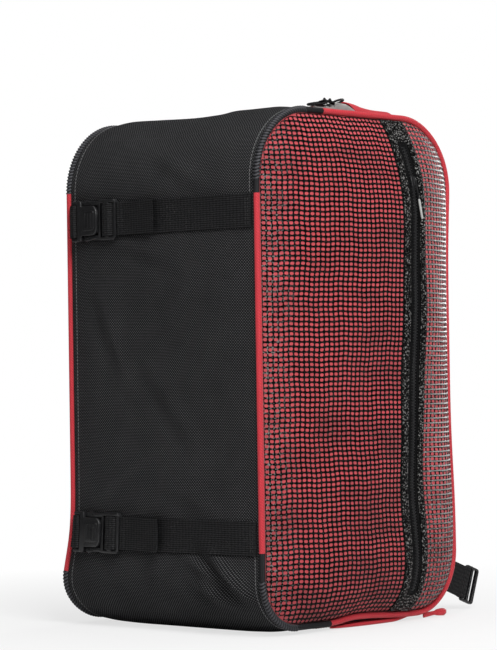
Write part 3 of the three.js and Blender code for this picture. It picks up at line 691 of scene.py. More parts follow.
def plate(rim, holes, low, high, ease):
    """A mesh of a flat outline with holes, from one height to another, with rounded edges."""
    drawn = bpy.data.curves.new("plate", "CURVE")
    drawn.dimensions = "2D"
    drawn.fill_mode = "BOTH"
    drawn.extrude = (high - low) / 2 - ease
    drawn.bevel_depth = ease
    drawn.bevel_resolution = 2
    drawn.offset = -ease
    for ring in (rim, *(hole[::-1] for hole in holes)):
        spline = drawn.splines.new("POLY")
        spline.points.add(len(ring) - 1)
        spline.points.foreach_set("co", [n for x, y in ring for n in (x, y, 0, 1)])
        spline.use_cyclic_u = True
    holder = put("plate", drawn)
    seen = holder.evaluated_get(bpy.context.evaluated_depsgraph_get())
    mesh = bpy.data.meshes.new_from_object(seen)
    mesh.transform(Matrix.Translation((0, 0, (low + high) / 2)))
    bpy.data.objects.remove(holder)
    bpy.data.curves.remove(drawn)
    return mesh


WELD = 1e-6  # points of joined meshes that are nearer than this become one


def hard_piece(name, meshes, seat, finish, slot, replaces):
    """Joins flat-drawn meshes and sets them on their seat as one piece."""
    joined = bmesh.new()
    for mesh in meshes:
        joined.from_mesh(mesh)
        bpy.data.meshes.remove(mesh)
    bmesh.ops.remove_doubles(joined, verts=joined.verts, dist=WELD)
    bmesh.ops.recalc_face_normals(joined, faces=joined.faces)
    bmesh.ops.transform(joined, matrix=seat, verts=joined.verts)
    mesh = bpy.data.meshes.new(name)
    joined.to_mesh(mesh)
    joined.free()
    dress(mesh, name, finish, slot, replaces, "moulded")


def rounded(half_x, half_y, radius, centre=(0, 0), steps=5):
    """A rectangle with round corners, counter-clockwise."""
    ring = []
    for corner, (sx, sy) in enumerate(((1, 1), (-1, 1), (-1, -1), (1, -1))):
        for k in range(steps + 1):
            turn = (corner + k / steps) * pi / 2
            x = centre[0] + sx * (half_x - radius) + radius * cos(turn)
            y = centre[1] + sy * (half_y - radius) + radius * sin(turn)
            ring.append((x, y))
    return ring


def mirrored(half):
    """A ring that is alike on both sides of the X axis, from its upper half."""
    return [*half, *((x, -y) for x, y in reversed(half))]


def basis(x_way, y_way, z_way, origin):
    """A seat from its three directions and its origin."""
    seat = Matrix.Identity(4)
    for k, way in enumerate((x_way, y_way, z_way, origin)):
        for row in range(3):
            seat[row][k] = way[row]
    return seat


def seat_on_gusset(run, at, depth, half_along, half_depth, clearance):
    """A seat on the gusset: X to the front, Y along the run, Z out of the cloth and clear of it."""
    reach = np.linspace(-1, 1, 5)
    share = share_at(depth) + reach[:, None] * half_depth / (body().seam_depth - 2 * edge())
    place = place_on(run, at, share) + reach[None] * half_along
    spots = gusset(run, place, share, body().wall / 2)
    origin = spots[2, 2]
    front_way = unit(spots[0, 2] - spots[-1, 2])
    run_way = unit(spots[2, -1] - spots[2, 0])
    out_way = unit(np.cross(front_way, run_way))
    run_way = np.cross(out_way, front_way)
    lift = max(0.0, float(((spots - origin) @ out_way).max()))
    return basis(front_way, run_way, out_way, origin + out_way * (lift + clearance))


def seat_points(seat, x, y, z):
    """Points given on a seat, in the frame."""
    local = np.stack(np.broadcast_arrays(x, y, z), -1)
    turn = np.array(seat)
    return local @ turn[:3, :3].T + turn[:3, 3]


# Shader groups

# Noise that is cut off under a floor: its scale, detail, floor and gain over it
CUT_NOISE = {
    "specks": {"scale": 900.0, "detail": 2.0, "floor": 0.56, "gain": 5.0},
    "dusty": {"scale": 14.0, "detail": 3.0, "floor": 0.25, "gain": 1.6},
    # noise of the painted glints on the net
    "glints": {"scale": 480.0, "detail": 1.0, "floor": 0.54, "gain": 9.0},
    # noise of the bands of painted fold shade
    "shaded_bands": {"scale": 27.0, "detail": 2.0, "floor": 0.46, "gain": 5.0},
}
WEAVE_SHADE = {"painted_dots": 0.9, "height": 0.1}  # parts of a weave's shade: painted highlight dots on the crowns of the over threads, and the thread height
RIB_SHADE = {"strand": 0.35, "gain": 0.55}  # part of the strands in a rib, and gain of its shade, whose crests carry a painted highlight
GRAIN = {"fine": 3.0, "slow": 4.0, "patch": 0.04}  # details of the noise, and the slow one's scale
# Painted fold shade: turn and stretch of its bands, then the strength of the painted shade at the foot and
# its fall with height
PAINTED_FOLD_BANDS = {"turn": (0.0, 0.25, 0.0), "stretch": (0.4, 1.0, 1.0), "foot": 0.40, "fall": -2.2}
WEAR = {"scale": 260.0, "floor": 0.53, "gain": 9.0}


def join(tree, value, socket):
    """Links a socket or sets a plain value."""
    if isinstance(value, bpy.types.NodeSocket):
        tree.links.new(value, socket)
    else:
        socket.default_value = value


def calc(tree, operation, *values):
    node = tree.nodes.new("ShaderNodeMath")
    node.operation = operation
    for value, socket in zip(values, node.inputs):
        join(tree, value, socket)
    return node.outputs[0]


def times(tree, first, *others):
    """The product of values."""
    for other in others:
        first = calc(tree, "MULTIPLY", first, other)
    return first


def axes(tree, place):
    """X, Y and Z of a place."""
    node = tree.nodes.new("ShaderNodeSeparateXYZ")
    join(tree, place, node.inputs[0])
    return node.outputs


def noise(tree, place, scale, detail=2.0):
    node = tree.nodes.new("ShaderNodeTexNoise")
    join(tree, place, node.inputs["Vector"])
    join(tree, scale, node.inputs["Scale"])
    node.inputs["Detail"].default_value = detail
    return node.outputs[0]


def over_floor(tree, value, floor, gain):
    """How far a value stands over a floor, with a gain, and 0 under it."""
    return calc(tree, "MAXIMUM", times(tree, calc(tree, "SUBTRACT", value, floor), gain), 0.0)


def cut_noise(tree, place, scale, detail, floor, gain):
    """Noise over a floor."""
    return over_floor(tree, noise(tree, place, scale, detail), floor, gain)


EFFECTS = {}  # what fills the group of each effect, the name of its size and its outputs


def effect(name, size, *outputs):
    """Keeps a function that fills the node group of an effect."""
    def keep(fill):
        EFFECTS[name] = fill, size, outputs
        return fill
    return keep


def effect_group(name):
    """The node group of an effect, which takes a place and a size. It is built once."""
    if name in bpy.data.node_groups:
        return bpy.data.node_groups[name]
    fill, size, outputs = EFFECTS[name]
    tree = bpy.data.node_groups.new(name, "ShaderNodeTree")
    for label, kind in (("Place", "NodeSocketVector"), (size, "NodeSocketFloat")):
        tree.interface.new_socket(name=label, in_out="INPUT", socket_type=kind)
    for label in outputs:
        tree.interface.new_socket(name=label, in_out="OUTPUT", socket_type="NodeSocketFloat")
    given = tree.nodes.new("NodeGroupInput").outputs
    result = tree.nodes.new("NodeGroupOutput").inputs
    for label, value in zip(outputs, fill(tree, given["Place"], given[size])):
        join(tree, value, result[label])
    return tree


@effect("Weave", "Pitch", "Height", "Shade")
def weave_effect(tree, place, pitch):
    """Plain weave: threads that pass over and under each other, with painted highlight dots on their crowns
    in the Shade.
    """
    warp, weft = (calc(tree, "DIVIDE", way, pitch) for way in axes(tree, place)[:2])
    crowns = [calc(tree, "SINE", times(tree, calc(tree, "FRACT", way), pi)) for way in (warp, weft)]
    over = [
        times(tree, crowns[k], calc(tree, "MULTIPLY_ADD", crowns[1 - k], 0.5, 0.5)) for k in (0, 1)]
    count = calc(tree, "ADD", calc(tree, "FLOOR", warp), calc(tree, "FLOOR", weft))
    check = calc(tree, "FLOORED_MODULO", count, 2.0)
    height = calc(tree, "MULTIPLY_ADD", check, calc(tree, "SUBTRACT", over[0], over[1]), over[1])
    painted_dots = times(tree, height, height, check)
    even = times(tree, height, WEAVE_SHADE["height"])
    return height, calc(tree, "MULTIPLY_ADD", painted_dots, WEAVE_SHADE["painted_dots"], even)


@effect("Rib", "Pitch", "Height", "Shade")
def rib_effect(tree, place, pitch):
    """Fine ribs across a tape or a strap, whose Shade puts a painted highlight on their crests."""
    along, across = (calc(tree, "DIVIDE", way, pitch) for way in axes(tree, place)[:2])
    rib, strand = (
        calc(tree, "ABSOLUTE", calc(tree, "SINE", times(tree, way, turn)))
        for way, turn in ((along, pi), (across, pi / 2)))
    height = calc(tree, "MULTIPLY_ADD", strand, RIB_SHADE["strand"], rib)
    return height, times(tree, height, height, RIB_SHADE["gain"])


@effect("Grain", "Scale", "Height", "Patches")
def grain_effect(tree, place, scale):
    """Uneven grain: a fine height and slow patches."""
    slow = times(tree, scale, GRAIN["patch"])
    return noise(tree, place, scale, GRAIN["fine"]), noise(tree, place, slow, GRAIN["slow"])


@effect("Lint", "Amount", "Mask")
def lint_effect(tree, place, amount):
    """Specks of lint and dust, as a mask."""
    sharp, soft = (cut_noise(tree, place, **CUT_NOISE[kind]) for kind in ("specks", "dusty"))
    return [calc(tree, "MINIMUM", times(tree, sharp, soft, amount), 1.0)]


@effect("Flecks", "Amount", "Mask")
def fleck_effect(tree, place, amount):
    """Small painted glints of highlight, as a mask."""
    sharp = calc(tree, "MINIMUM", cut_noise(tree, place, **CUT_NOISE["glints"]), 1.0)
    return [times(tree, sharp, amount)]


@effect("Soft Folds", "Amount", "Mask")
def fold_effect(tree, place, amount):
    """Painted shade in bands like the troughs of slack cloth, and painted shade that grows towards the foot,
    as a mask.
    """
    drawn_out = tree.nodes.new("ShaderNodeMapping")
    join(tree, place, drawn_out.inputs["Vector"])
    drawn_out.inputs["Rotation"].default_value = PAINTED_FOLD_BANDS["turn"]
    drawn_out.inputs["Scale"].default_value = PAINTED_FOLD_BANDS["stretch"]
    shaded_bands = calc(tree, "MINIMUM", cut_noise(tree, drawn_out.outputs[0], **CUT_NOISE["shaded_bands"]), 1.0)
    low = calc(tree, "MULTIPLY_ADD", axes(tree, place)[2], PAINTED_FOLD_BANDS["fall"], PAINTED_FOLD_BANDS["foot"])
    shade = calc(tree, "ADD", shaded_bands, calc(tree, "MAXIMUM", low, 0.0))
    return [calc(tree, "MINIMUM", times(tree, shade, amount), 1.0)]


@effect("Edge Wear", "Amount", "Mask")
def wear_effect(tree, place, amount):
    """Edges that handling has rubbed lighter, as a mask."""
    sharp = tree.nodes.new("ShaderNodeNewGeometry").outputs["Pointiness"]
    edges = over_floor(tree, sharp, WEAR["floor"], WEAR["gain"])
    rubbed = times(tree, edges, noise(tree, place, WEAR["scale"]), amount)
    return [calc(tree, "MINIMUM", rubbed, 1.0)]


def place_group(tree, name, place, value):
    """Puts a shared effect in a material. Its second input is the effect's own size or amount."""
    node = tree.nodes.new("ShaderNodeGroup")
    node.node_tree = effect_group(name)
    join(tree, place, node.inputs[0])
    join(tree, value, node.inputs[1])
    return node.outputs


# Finishes

WHOLE = (0.0, 1.0)

# Grain of cloth: its scale, strength and tone of its patches, part of the relief, added roughness
CLOTH_GRAIN = {"scale": 700.0, "patches": 0.45, "shade": 0.55, "fuzz": 0.25, "rougher": 0.2}
CLOTH_DUST = (0.35, 0.34, 0.33, 1.0)

# Grain of plastic: its scale, tones of its patches, amount of lint, and roughness to either side
MOULD_GRAIN = {"scale": 1600.0, "tones": (0.8, 1.3), "lint": 0.3, "smoother": 0.1, "rougher": 0.14}
MOULD_DUST = (0.3, 0.3, 0.29, 1.0)
RUBBED = {"gain": 2, "added": 0.03}  # how much lighter a rubbed edge is

# Painted fold shade on the red front: its amount and the tone of the shade
PAINTED_FOLD_SHADE = {"amount": 0.55, "tone": 0.35}
GLINT_REACH = 0.050  # from the left seam to where the painted glints are at their inner amount
# colour of the painted glints on the net
GLINT_COLOUR = (0.55, 0.54, 0.53, 1.0)
# Painted reflection along the crests of the level strands right of the pocket zip
PAINTED_STRAND_SHINE = {
    "colour": (0.95, 0.93, 0.92, 1.0),
    "inner": 0.12, "outer": 0.85,  # amounts at the pocket zip and at the right seam
    "core": 0.0004, "rim": 0.0010,  # half widths of the full shine and of all of it
    "ends": 0.30, "foot": (0.080, 0.220), "head": (0.570, 0.440),  # amount and heights where it fades
}
FLOOR = {"grain": 60.0, "tones": (0.98, 1.02), "roughness": 0.8}
FLOOR_FADE = {"near": 0.25, "far": 0.9, "glow": 0.7}

# A material, its tree, its shader's sockets, and places on the cloth and in space
Finish = namedtuple("Finish", "material tree sockets cloth space")


def blend_colours(tree, share, first, second):
    node = tree.nodes.new("ShaderNodeMix")
    node.data_type = "RGBA"
    node.clamp_factor = True
    join(tree, share, node.inputs[0])
    for value, socket in ((first, node.inputs[6]), (second, node.inputs[7])):
        join(tree, value, socket)
    return node.outputs[2]


def ranged(tree, value, source, target):
    """A value carried from one range to another, held at the ends."""
    node = tree.nodes.new("ShaderNodeMapRange")
    join(tree, value, node.inputs[0])
    for k, bound in enumerate((*source, *target)):
        node.inputs[k + 1].default_value = bound
    return node.outputs[0]


def bump(tree, height, depth, under=None):
    node = tree.nodes.new("ShaderNodeBump")
    node.inputs["Distance"].default_value = depth
    join(tree, height, node.inputs["Height"])
    if under:
        join(tree, under, node.inputs["Normal"])
    return node.outputs[0]


def mix_shaders(tree, share, first, second, output):
    node = tree.nodes.new("ShaderNodeMixShader")
    for value, socket in zip((share, first, second), node.inputs):
        join(tree, value, socket)
    join(tree, node.outputs[0], output)


def camera_ray(tree):
    return tree.nodes.new("ShaderNodeLightPath").outputs["Is Camera Ray"]


def opaque(shade, factor=1.0):
    return tuple(min(1.0, c * factor) for c in shade) + (1.0,)


def new_finish(name):
    material = bpy.data.materials.new(name)
    material.use_nodes = True
    tree = material.node_tree
    cloth = tree.nodes.new("ShaderNodeUVMap")
    cloth.uv_map = CLOTH_MAP
    space = tree.nodes.new("ShaderNodeTexCoord").outputs["Object"]
    return Finish(material, tree, tree.nodes["Principled BSDF"].inputs, cloth.outputs[0], space)


def once(maker):
    """Makes a finish the first time that it is asked for."""
    def finish():
        name = maker.__name__
        if name not in bpy.data.materials:
            maker(new_finish(name))
        return bpy.data.materials[name]
    return finish


def lay_over(made, mask, shade):
    """Lays a colour over what a finish has so far."""
    under = made.sockets["Base Color"].links[0].from_socket
    join(made.tree, blend_colours(made.tree, mask, under, shade), made.sockets["Base Color"])


def woven(made, pattern, shade, pitch, relief, roughness, tones, lint, shine=0.5, sheen=0.0):
    """Cloth, tape or webbing: threads in relief, with painted shade between them and painted highlights on
    their crowns, patches and lint.
    """
    tree, sockets = made.tree, made.sockets
    threads = place_group(tree, pattern, made.cloth, pitch)
    grain = place_group(tree, "Grain", made.space, CLOTH_GRAIN["scale"])
    specks = place_group(tree, "Lint", made.space, lint)
    # the tones run from painted shade between the threads to a painted highlight on their crowns
    tone = blend_colours(tree, threads["Shade"], *(opaque(shade, factor) for factor in tones))
    join(tree, tone, sockets["Base Color"])
    patches = ranged(tree, grain["Patches"], WHOLE, (0.0, CLOTH_GRAIN["patches"]))
    lay_over(made, patches, opaque(shade, CLOTH_GRAIN["shade"]))
    lay_over(made, specks["Mask"], CLOTH_DUST)
    between = min(1.0, roughness + CLOTH_GRAIN["rougher"])
    join(tree, ranged(tree, threads["Height"], WHOLE, (between, roughness)), sockets["Roughness"])
    fuzz = bump(tree, grain["Height"], relief * CLOTH_GRAIN["fuzz"])
    join(tree, bump(tree, threads["Height"], relief, fuzz), sockets["Normal"])
    sockets["Specular IOR Level"].default_value = shine
    sockets["Sheen Weight"].default_value = sheen


def moulded(made, shade, roughness, wear, relief, shine=0.5):
    """Moulded plastic or rubber: fine grain, rubbed edges and dust."""
    tree, sockets = made.tree, made.sockets
    grain = place_group(tree, "Grain", made.space, MOULD_GRAIN["scale"])
    worn = place_group(tree, "Edge Wear", made.space, wear)
    specks = place_group(tree, "Lint", made.space, MOULD_GRAIN["lint"])
    tone = blend_colours(tree, grain["Patches"], *(opaque(shade, factor) for factor in MOULD_GRAIN["tones"]))
    join(tree, tone, sockets["Base Color"])
    lay_over(made, worn["Mask"], opaque([c * RUBBED["gain"] + RUBBED["added"] for c in shade]))
    lay_over(made, specks["Mask"], MOULD_DUST)
    spread = (roughness - MOULD_GRAIN["smoother"], roughness + MOULD_GRAIN["rougher"])
    join(tree, ranged(tree, grain["Patches"], WHOLE, spread), sockets["Roughness"])
    join(tree, bump(tree, grain["Height"], relief), sockets["Normal"])
    sockets["Specular IOR Level"].default_value = shine


def flecked(made, amounts):
    """Coated net with painted glints of highlight, from one amount at the left seam to another well inside
    it.
    """
    moulded(made, colours().net, roughness=0.22, wear=0.2, relief=0.0001, shine=0.05)
    seam = -body().seam_width / 2
    amount = ranged(made.tree, axes(made.tree, made.space)[0], (seam, seam + GLINT_REACH), amounts)
    lay_over(made, place_group(made.tree, "Flecks", made.space, amount)["Mask"], GLINT_COLOUR)


@once
def red_weave(made):
    shade = colours().red_cloth
    woven(
        made, "Weave", shade, pitch=0.0011, relief=0.0003, roughness=0.6, tones=(0.8, 1.35), lint=0.05,
        sheen=0.15)
    # painted shade in fold bands and towards the foot, laid over the red cloth
    fold_shade = place_group(made.tree, "Soft Folds", made.space, PAINTED_FOLD_SHADE["amount"])
    lay_over(made, fold_shade["Mask"], opaque(shade, PAINTED_FOLD_SHADE["tone"]))


@once
def red_tape(made):
    woven(
        made, "Weave", colours().red_tape, pitch=0.0016, relief=0.0002, roughness=0.5, tones=(0.7, 1.9),
        lint=0.08, sheen=0.1)


@once
def black_weave(made):
    # the light tone, far above the cloth's colour, is a painted highlight on the thread crowns
    woven(
        made, "Weave", colours().black_cloth, pitch=0.0017, relief=0.0006, roughness=0.55,
        tones=(0.05, 17.0), lint=0.10, shine=0.03)


@once
def black_tape(made):
    woven(
        made, "Rib", colours().black_tape, pitch=0.0012, relief=0.0003, roughness=0.5, tones=(0.4, 1.6),
        lint=0.15, shine=0.06)


@once
def piping_tape(made):
    # the light tone is a painted highlight on the rib crests
    woven(
        made, "Rib", colours().black_tape, pitch=0.0012, relief=0.0003, roughness=0.45, tones=(1.0, 8.0),
        lint=0.1, shine=0.15)


@once
def ribbed_tape(made):
    # the light tone is a painted highlight on the rib crests, and the dark one painted shade between them
    woven(
        made, "Rib", colours().black_tape, pitch=RIB["pitch"], relief=0.0001, roughness=0.4,
        tones=(0.1, 22.0), lint=0.1, shine=0.15)


@once
def strap_weave(made):
    woven(
        made, "Rib", colours().webbing, pitch=0.0024, relief=0.0004, roughness=0.5, tones=(0.1, 4.0),
        lint=0.3, shine=0.1)


def spun(made, shade):
    """Sewing thread of a colour."""
    woven(made, "Rib", shade, pitch=0.0005, relief=0.0001, roughness=0.45, tones=(0.6, 1.3), lint=0.1)


@once
def sewing_thread(made):
    spun(made, colours().thread)


@once
def black_thread(made):
    spun(made, colours().webbing)


@once
def coated_net(made):
    # painted glints, many at the left seam and few inside
    flecked(made, (0.50, 0.04))


@once
def binding_net(made):
    # painted glints all over the net of the bindings
    flecked(made, (0.42, 0.42))


@once
def sparkling_net(made):
    """Net right of the pocket zip with painted glints, whose level strands carry a painted reflection that
    grows towards the right seam.
    """
    flecked(made, (0.4, 0.4))
    tree, row = made.tree, PAINTED_STRAND_SHINE
    x, z, _ = axes(tree, made.cloth)
    low, high = front_heights()
    pitch = (high - low) / round((high - low) / net_sizes().pitch_up)
    off = calc(tree, "PINGPONG", calc(tree, "SUBTRACT", z, low), pitch / 2)
    shine = ranged(tree, off, (row["core"], row["rim"]), (1.0, 0.0))
    across = (trim().pocket_x + trim().binding_outer, body().seam_width / 2)
    near_seam = ranged(tree, x, across, (row["inner"], row["outer"]))
    fades = (ranged(tree, z, row[end], (row["ends"], 1.0)) for end in ("foot", "head"))
    # lay the painted reflection over the level strands
    lay_over(made, times(tree, shine, near_seam, *fades), row["colour"])


@once
def black_plastic(made):
    moulded(made, colours().plastic, roughness=0.30, wear=0.8, relief=0.00006)


@once
def grey_coil(made):
    moulded(made, colours().coil, roughness=0.4, wear=0.3, relief=0.00004)


@once
def black_coil(made):
    moulded(made, colours().plastic, roughness=0.34, wear=0.3, relief=0.00004)


@once
def pale_rubber(made):
    moulded(made, colours().pale_pull, roughness=0.5, wear=0.2, relief=0.00006)


@once
def pale_floor(made):
    """Pale matt floor that fades into the white surround far from the bag."""
    tree = made.tree
    grain = place_group(tree, "Grain", made.space, FLOOR["grain"])
    shades = (opaque(colours().floor, factor) for factor in FLOOR["tones"])
    join(tree, blend_colours(tree, grain["Patches"], *shades), made.sockets["Base Color"])
    made.sockets["Roughness"].default_value = FLOOR["roughness"]
    far = tree.nodes.new("ShaderNodeVectorMath")
    far.operation = "LENGTH"
    join(tree, made.space, far.inputs[0])
    reach = (FLOOR_FADE["near"], FLOOR_FADE["far"])
    fade = ranged(tree, far.outputs["Value"], reach, (FLOOR_FADE["glow"], 1.0))
    glow = tree.nodes.new("ShaderNodeEmission")
    mix_shaders(
        tree, times(tree, fade, camera_ray(tree)), tree.nodes["Principled BSDF"].outputs[0],
        glow.outputs[0], tree.nodes["Material Output"].inputs[0])


# Operators

class Make(bpy.types.Operator):
    """Shared form of the operators that make the pieces."""
    bl_options = {"REGISTER", "UNDO"}

    def execute(self, context):
        self.make()
        return {"FINISHED"}


# Soft lights: where each one stands and how wide it is
LIGHTS = {
    "key": {"place": (-1.0, -1.9, 2.0), "size": 1.2},
    "edge": {"place": (2.2, 0.35, 0.8), "size": 1.0},
    "side": {"place": (-2.3, 0.5, 1.3), "size": 1.4},
    "overhead": {"place": (-0.3, -0.3, 2.6), "size": 1.8},
}
FLOOR_REACH = 40.0
SENSOR_WIDTH = 36.0
WHITE = (1, 1, 1, 1)


class DUFFEL_OT_stage(Make):
    """Camera at the picture's viewing angle, soft lights, white surround and pale floor"""
    bl_idname = "duffel.stage"
    bl_label = "Stage"

    def make(self):
        stage = bpy.context.scene.duffel_stage
        self.camera(stage)
        self.surround(stage)
        for name, row in LIGHTS.items():
            self.light(f"{name}_light", getattr(stage, name), row["place"], row["size"])
        mesh = bpy.data.meshes.new("floor")
        corners = [(x * FLOOR_REACH, y * FLOOR_REACH, 0) for x, y in ((-1, -1), (1, -1), (1, 1), (-1, 1))]
        mesh.from_pydata(corners, [], [(0, 1, 2, 3)])
        mesh.materials.append(pale_floor())
        floor = put("floor", mesh)
        floor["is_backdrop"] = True

    def camera(self, stage):
        turn, tilt = stage.azimuth, stage.pitch
        back = Vector((-sin(turn), -cos(turn), 0))
        right = Vector((cos(turn), -sin(turn), 0))
        forward = Vector((0, 0, 1)) * sin(tilt) - back * cos(tilt)
        eye = Vector((0, 0, stage.eye_height)) + back * stage.distance + right * stage.side_step
        data = bpy.data.cameras.new("camera")
        data.sensor_width = SENSOR_WIDTH
        data.lens = stage.focal * SENSOR_WIDTH / PICTURE_HIGH
        camera = put("camera", data)
        level = basis(right, right.cross(forward), -forward, eye)
        camera.matrix_world = level @ Matrix.Rotation(stage.roll, 4, "Z")
        bpy.context.scene.camera = camera

    def surround(self, stage):
        world = bpy.data.worlds.new("surround")
        world.use_nodes = True
        tree = world.node_tree
        seen = tree.nodes["Background"]
        cast = tree.nodes.new("ShaderNodeBackground")
        for node in (seen, cast):
            node.inputs[0].default_value = WHITE
        cast.inputs[1].default_value = stage.ambient
        output = tree.nodes["World Output"].inputs[0]
        mix_shaders(tree, camera_ray(tree), cast.outputs[0], seen.outputs[0], output)
        bpy.context.scene.world = world
        bpy.context.scene.view_settings.view_transform = "Standard"

    def light(self, name, watts, place, size):
        data = bpy.data.lights.new(name, "AREA")
        data.energy = watts
        data.size = size
        lamp = put(name, data)
        lamp.location = place
        middle = Vector((0, 0, body().seam_high / 2))
        lamp.rotation_euler = (middle - lamp.location).to_track_quat("-Z", "Y").to_euler()


CLOTH_STEP = 0.0045
GUSSET_NODES = {
    "left": "side_panel_left",
    "right": "side_panel_right",
    "top": "top_panel",
    "bottom": "bottom_panel",
}
PANEL_GRID = {"columns": 61, "rows": 130}


def cloth_faces():
    """Outer and inner face of the cloth, from its middle."""
    return body().wall / 2, -body().wall / 2


class DUFFEL_OT_gusset(Make):
    """Side, top and bottom cloth of the bag"""
    bl_idname = "duffel.gusset"
    bl_label = "Gusset"

    def make(self):
        shares = np.linspace(0, 1, round(body().seam_depth / CLOTH_STEP) + 1)
        for run, node in GUSSET_NODES.items():
            walls = [
                gusset_grid([(run, "start", "end")], shares, outset, CLOTH_STEP) for outset in cloth_faces()]
            soft_piece(f"{node}_cloth", [shell(*walls)], black_weave, "black_cloth", [node])


class DUFFEL_OT_panels(Make):
    """Red cloth of the front and black cloth of the back"""
    bl_idname = "duffel.panels"
    bl_label = "Front and back"

    def make(self):
        turn = np.linspace(-pi / 2, pi / 2, PANEL_GRID["columns"])
        straight = np.linspace(-1, 1, PANEL_GRID["columns"])
        columns = half_width() * (0.5 * np.sin(turn) + 0.5 * straight)
        even = np.linspace(0, 1, PANEL_GRID["rows"])
        rows = (even + (1 - np.cos(even * pi)) / 2) / 2
        for facing, node, finish, slot in (
            (FRONT, "front_panel", red_weave, "red_cloth"),
            (BACK, "back_panel", black_weave, "black_cloth"),
        ):
            walls = [panel_grid(columns, rows, facing, outset) for outset in cloth_faces()]
            soft_piece(f"{node}_cloth", [shell(*walls)], finish, slot, [node])


# Heights of a strand's cross section, as parts of its full height, and its opening's round corner
NET_PROFILE = {"ridge": 1.0, "shoulder": 0.8, "opening": 0.25, "under": 0.0}
NET_SHOULDER = 0.6
NET_ROUND = 0.76
NET_RING = np.array([(-1, -1), (0, -1), (1, -1), (1, 0), (1, 1), (0, 1), (-1, 1), (-1, 0)])
NET_PROBES = 400  # points that measure the length across the swelling front
NET_CALM = 0.02  # from an edge of the net to where its strands stray in full
NET_LAP = 0.002  # from the ends of the pocket zip to the net over it

# Waves by which the strands stray: a slow one and its phase, then a quick one, its slant and its part
STRAY_ACROSS = {"slow": 75, "phase": 1.3, "quick": 210, "slant": 40}
STRAY_UP = {"slow": 90, "phase": 0.4, "quick": 260, "slant": 30}
STRAY_QUICK = 0.7


def within(spots):
    """Spots moved into the round-cornered outline of the front panel."""
    low, high = front_heights()
    middle = np.array([0, (low + high) / 2])
    most = np.array([half_width(), (high - low) / 2]) - trim().gap
    local = spots - middle
    left, low = local[..., 0] < 0, local[..., 1] < 0
    radius = np.where(
        left,
        np.where(low, corner_radius("bottom_left"), corner_radius("top_left")),
        np.where(low, corner_radius("bottom_right"), corner_radius("top_right")),
    )[..., None] - edge()
    core = np.clip(local, radius - most, most - radius)
    away = local - core
    far = np.linalg.norm(away, axis=-1, keepdims=True)
    return core + away * np.minimum(1, radius / np.maximum(far, 1e-9)) + middle


def stray(along, across, row):
    """How far a strand strays at a place along it, in parts of the net's wander."""
    quick = np.sin(along * row["quick"] + across * row["slant"])
    return np.sin(along * row["slow"] + row["phase"]) + STRAY_QUICK * quick


def net_spots(x, z, x_ends):
    """Crossings and half way points of the strands, strayed and fitted into the bowed panel."""
    left, right = x_ends
    inside = smooth_step(x, left, left + NET_CALM) * smooth_step(-x, -right, NET_CALM - right)
    wander = inside * net_sizes().wander
    spots = within(np.stack([x + wander * stray(z, x, STRAY_ACROSS), z + wander * stray(x, z, STRAY_UP)], -1))
    near_seam = smooth_step(-spots[..., 1], -BOW["fades"], -body().seam_low)
    spots[..., 1] += bow(spots[..., 0]) * near_seam
    return spots


def lattice(x_ends, z_ends, pitch, base):
    """A net of a pitch across and up with rounded openings, on a base that depends on X."""
    close = np.linspace(*x_ends, NET_PROBES)
    travelled = run_lengths(panel(close, np.mean(z_ends), FRONT, base(close)))
    many_x = round(travelled[-1] / pitch[0])
    many_z = round((z_ends[1] - z_ends[0]) / pitch[1])
    x, z = np.meshgrid(
        np.interp(np.linspace(0, travelled[-1], 2 * many_x + 1), travelled, close),
        np.linspace(*z_ends, 2 * many_z + 1), indexing="ij")
    spots = net_spots(x, z, x_ends)
    column, row = np.meshgrid(np.arange(many_x), np.arange(many_z), indexing="ij")
    middle = np.stack([x[1::2, 1::2], z[1::2, 1::2]], -1)
    kept = np.linalg.norm(within(middle) - middle, axis=-1) < 1e-9
    column, row = column[kept], row[kept]
    around = (2 * column[:, None] + 1 + NET_RING[:, 0], 2 * row[:, None] + 1 + NET_RING[:, 1])
    ridge = np.arange(x.size).reshape(x.shape)[around]
    rim = spots[around]
    centre = rim.mean(1, keepdims=True)
    part = 1 - np.array([net_sizes().upright, net_sizes().level]) / np.array(pitch)
    corner = np.abs(NET_RING).sum(1) == 2
    hole = centre + (rim - centre) * part * np.where(corner, NET_ROUND, 1.0)[:, None]
    shoulder = rim + (hole - rim) * NET_SHOULDER
    flat = np.concatenate([places.reshape(-1, 2) for places in (spots, spots, shoulder, hole)])
    levels = [NET_PROFILE[key] for key in ("ridge", "under", "shoulder", "opening")]
    rise = np.repeat(levels, [x.size, x.size, ridge.size, ridge.size]) * net_sizes().thick
    points = panel(flat[:, 0], flat[:, 1], FRONT, base(flat[:, 0]) + rise)
    under = ridge + x.size
    first_shoulder = 2 * x.size + np.arange(ridge.size).reshape(ridge.shape)
    first_hole = first_shoulder + ridge.size
    rings = (ridge, first_shoulder, first_hole, under)
    after = [np.roll(ring, -1, 1) for ring in rings]
    faces = [
        np.stack([rings[k], after[k], after[k + 1], rings[k + 1]], -1).reshape(-1, 4) for k in range(3)]
    framed = np.pad(kept, 1)
    for side, (step_x, step_z) in enumerate(((0, -1), (1, 0), (0, 1), (-1, 0))):
        bare = ~framed[column + 1 + step_x, row + 1 + step_z]
        for k in (2 * side, 2 * side + 1):
            faces.append(np.stack([after[0][:, k], ridge[:, k], under[:, k], after[3][:, k]], -1)[bare])
    used, faces = np.unique(np.concatenate(faces), return_inverse=True)
    faces = faces.reshape(-1, 4)
    return points[used], faces, flat[used][faces]


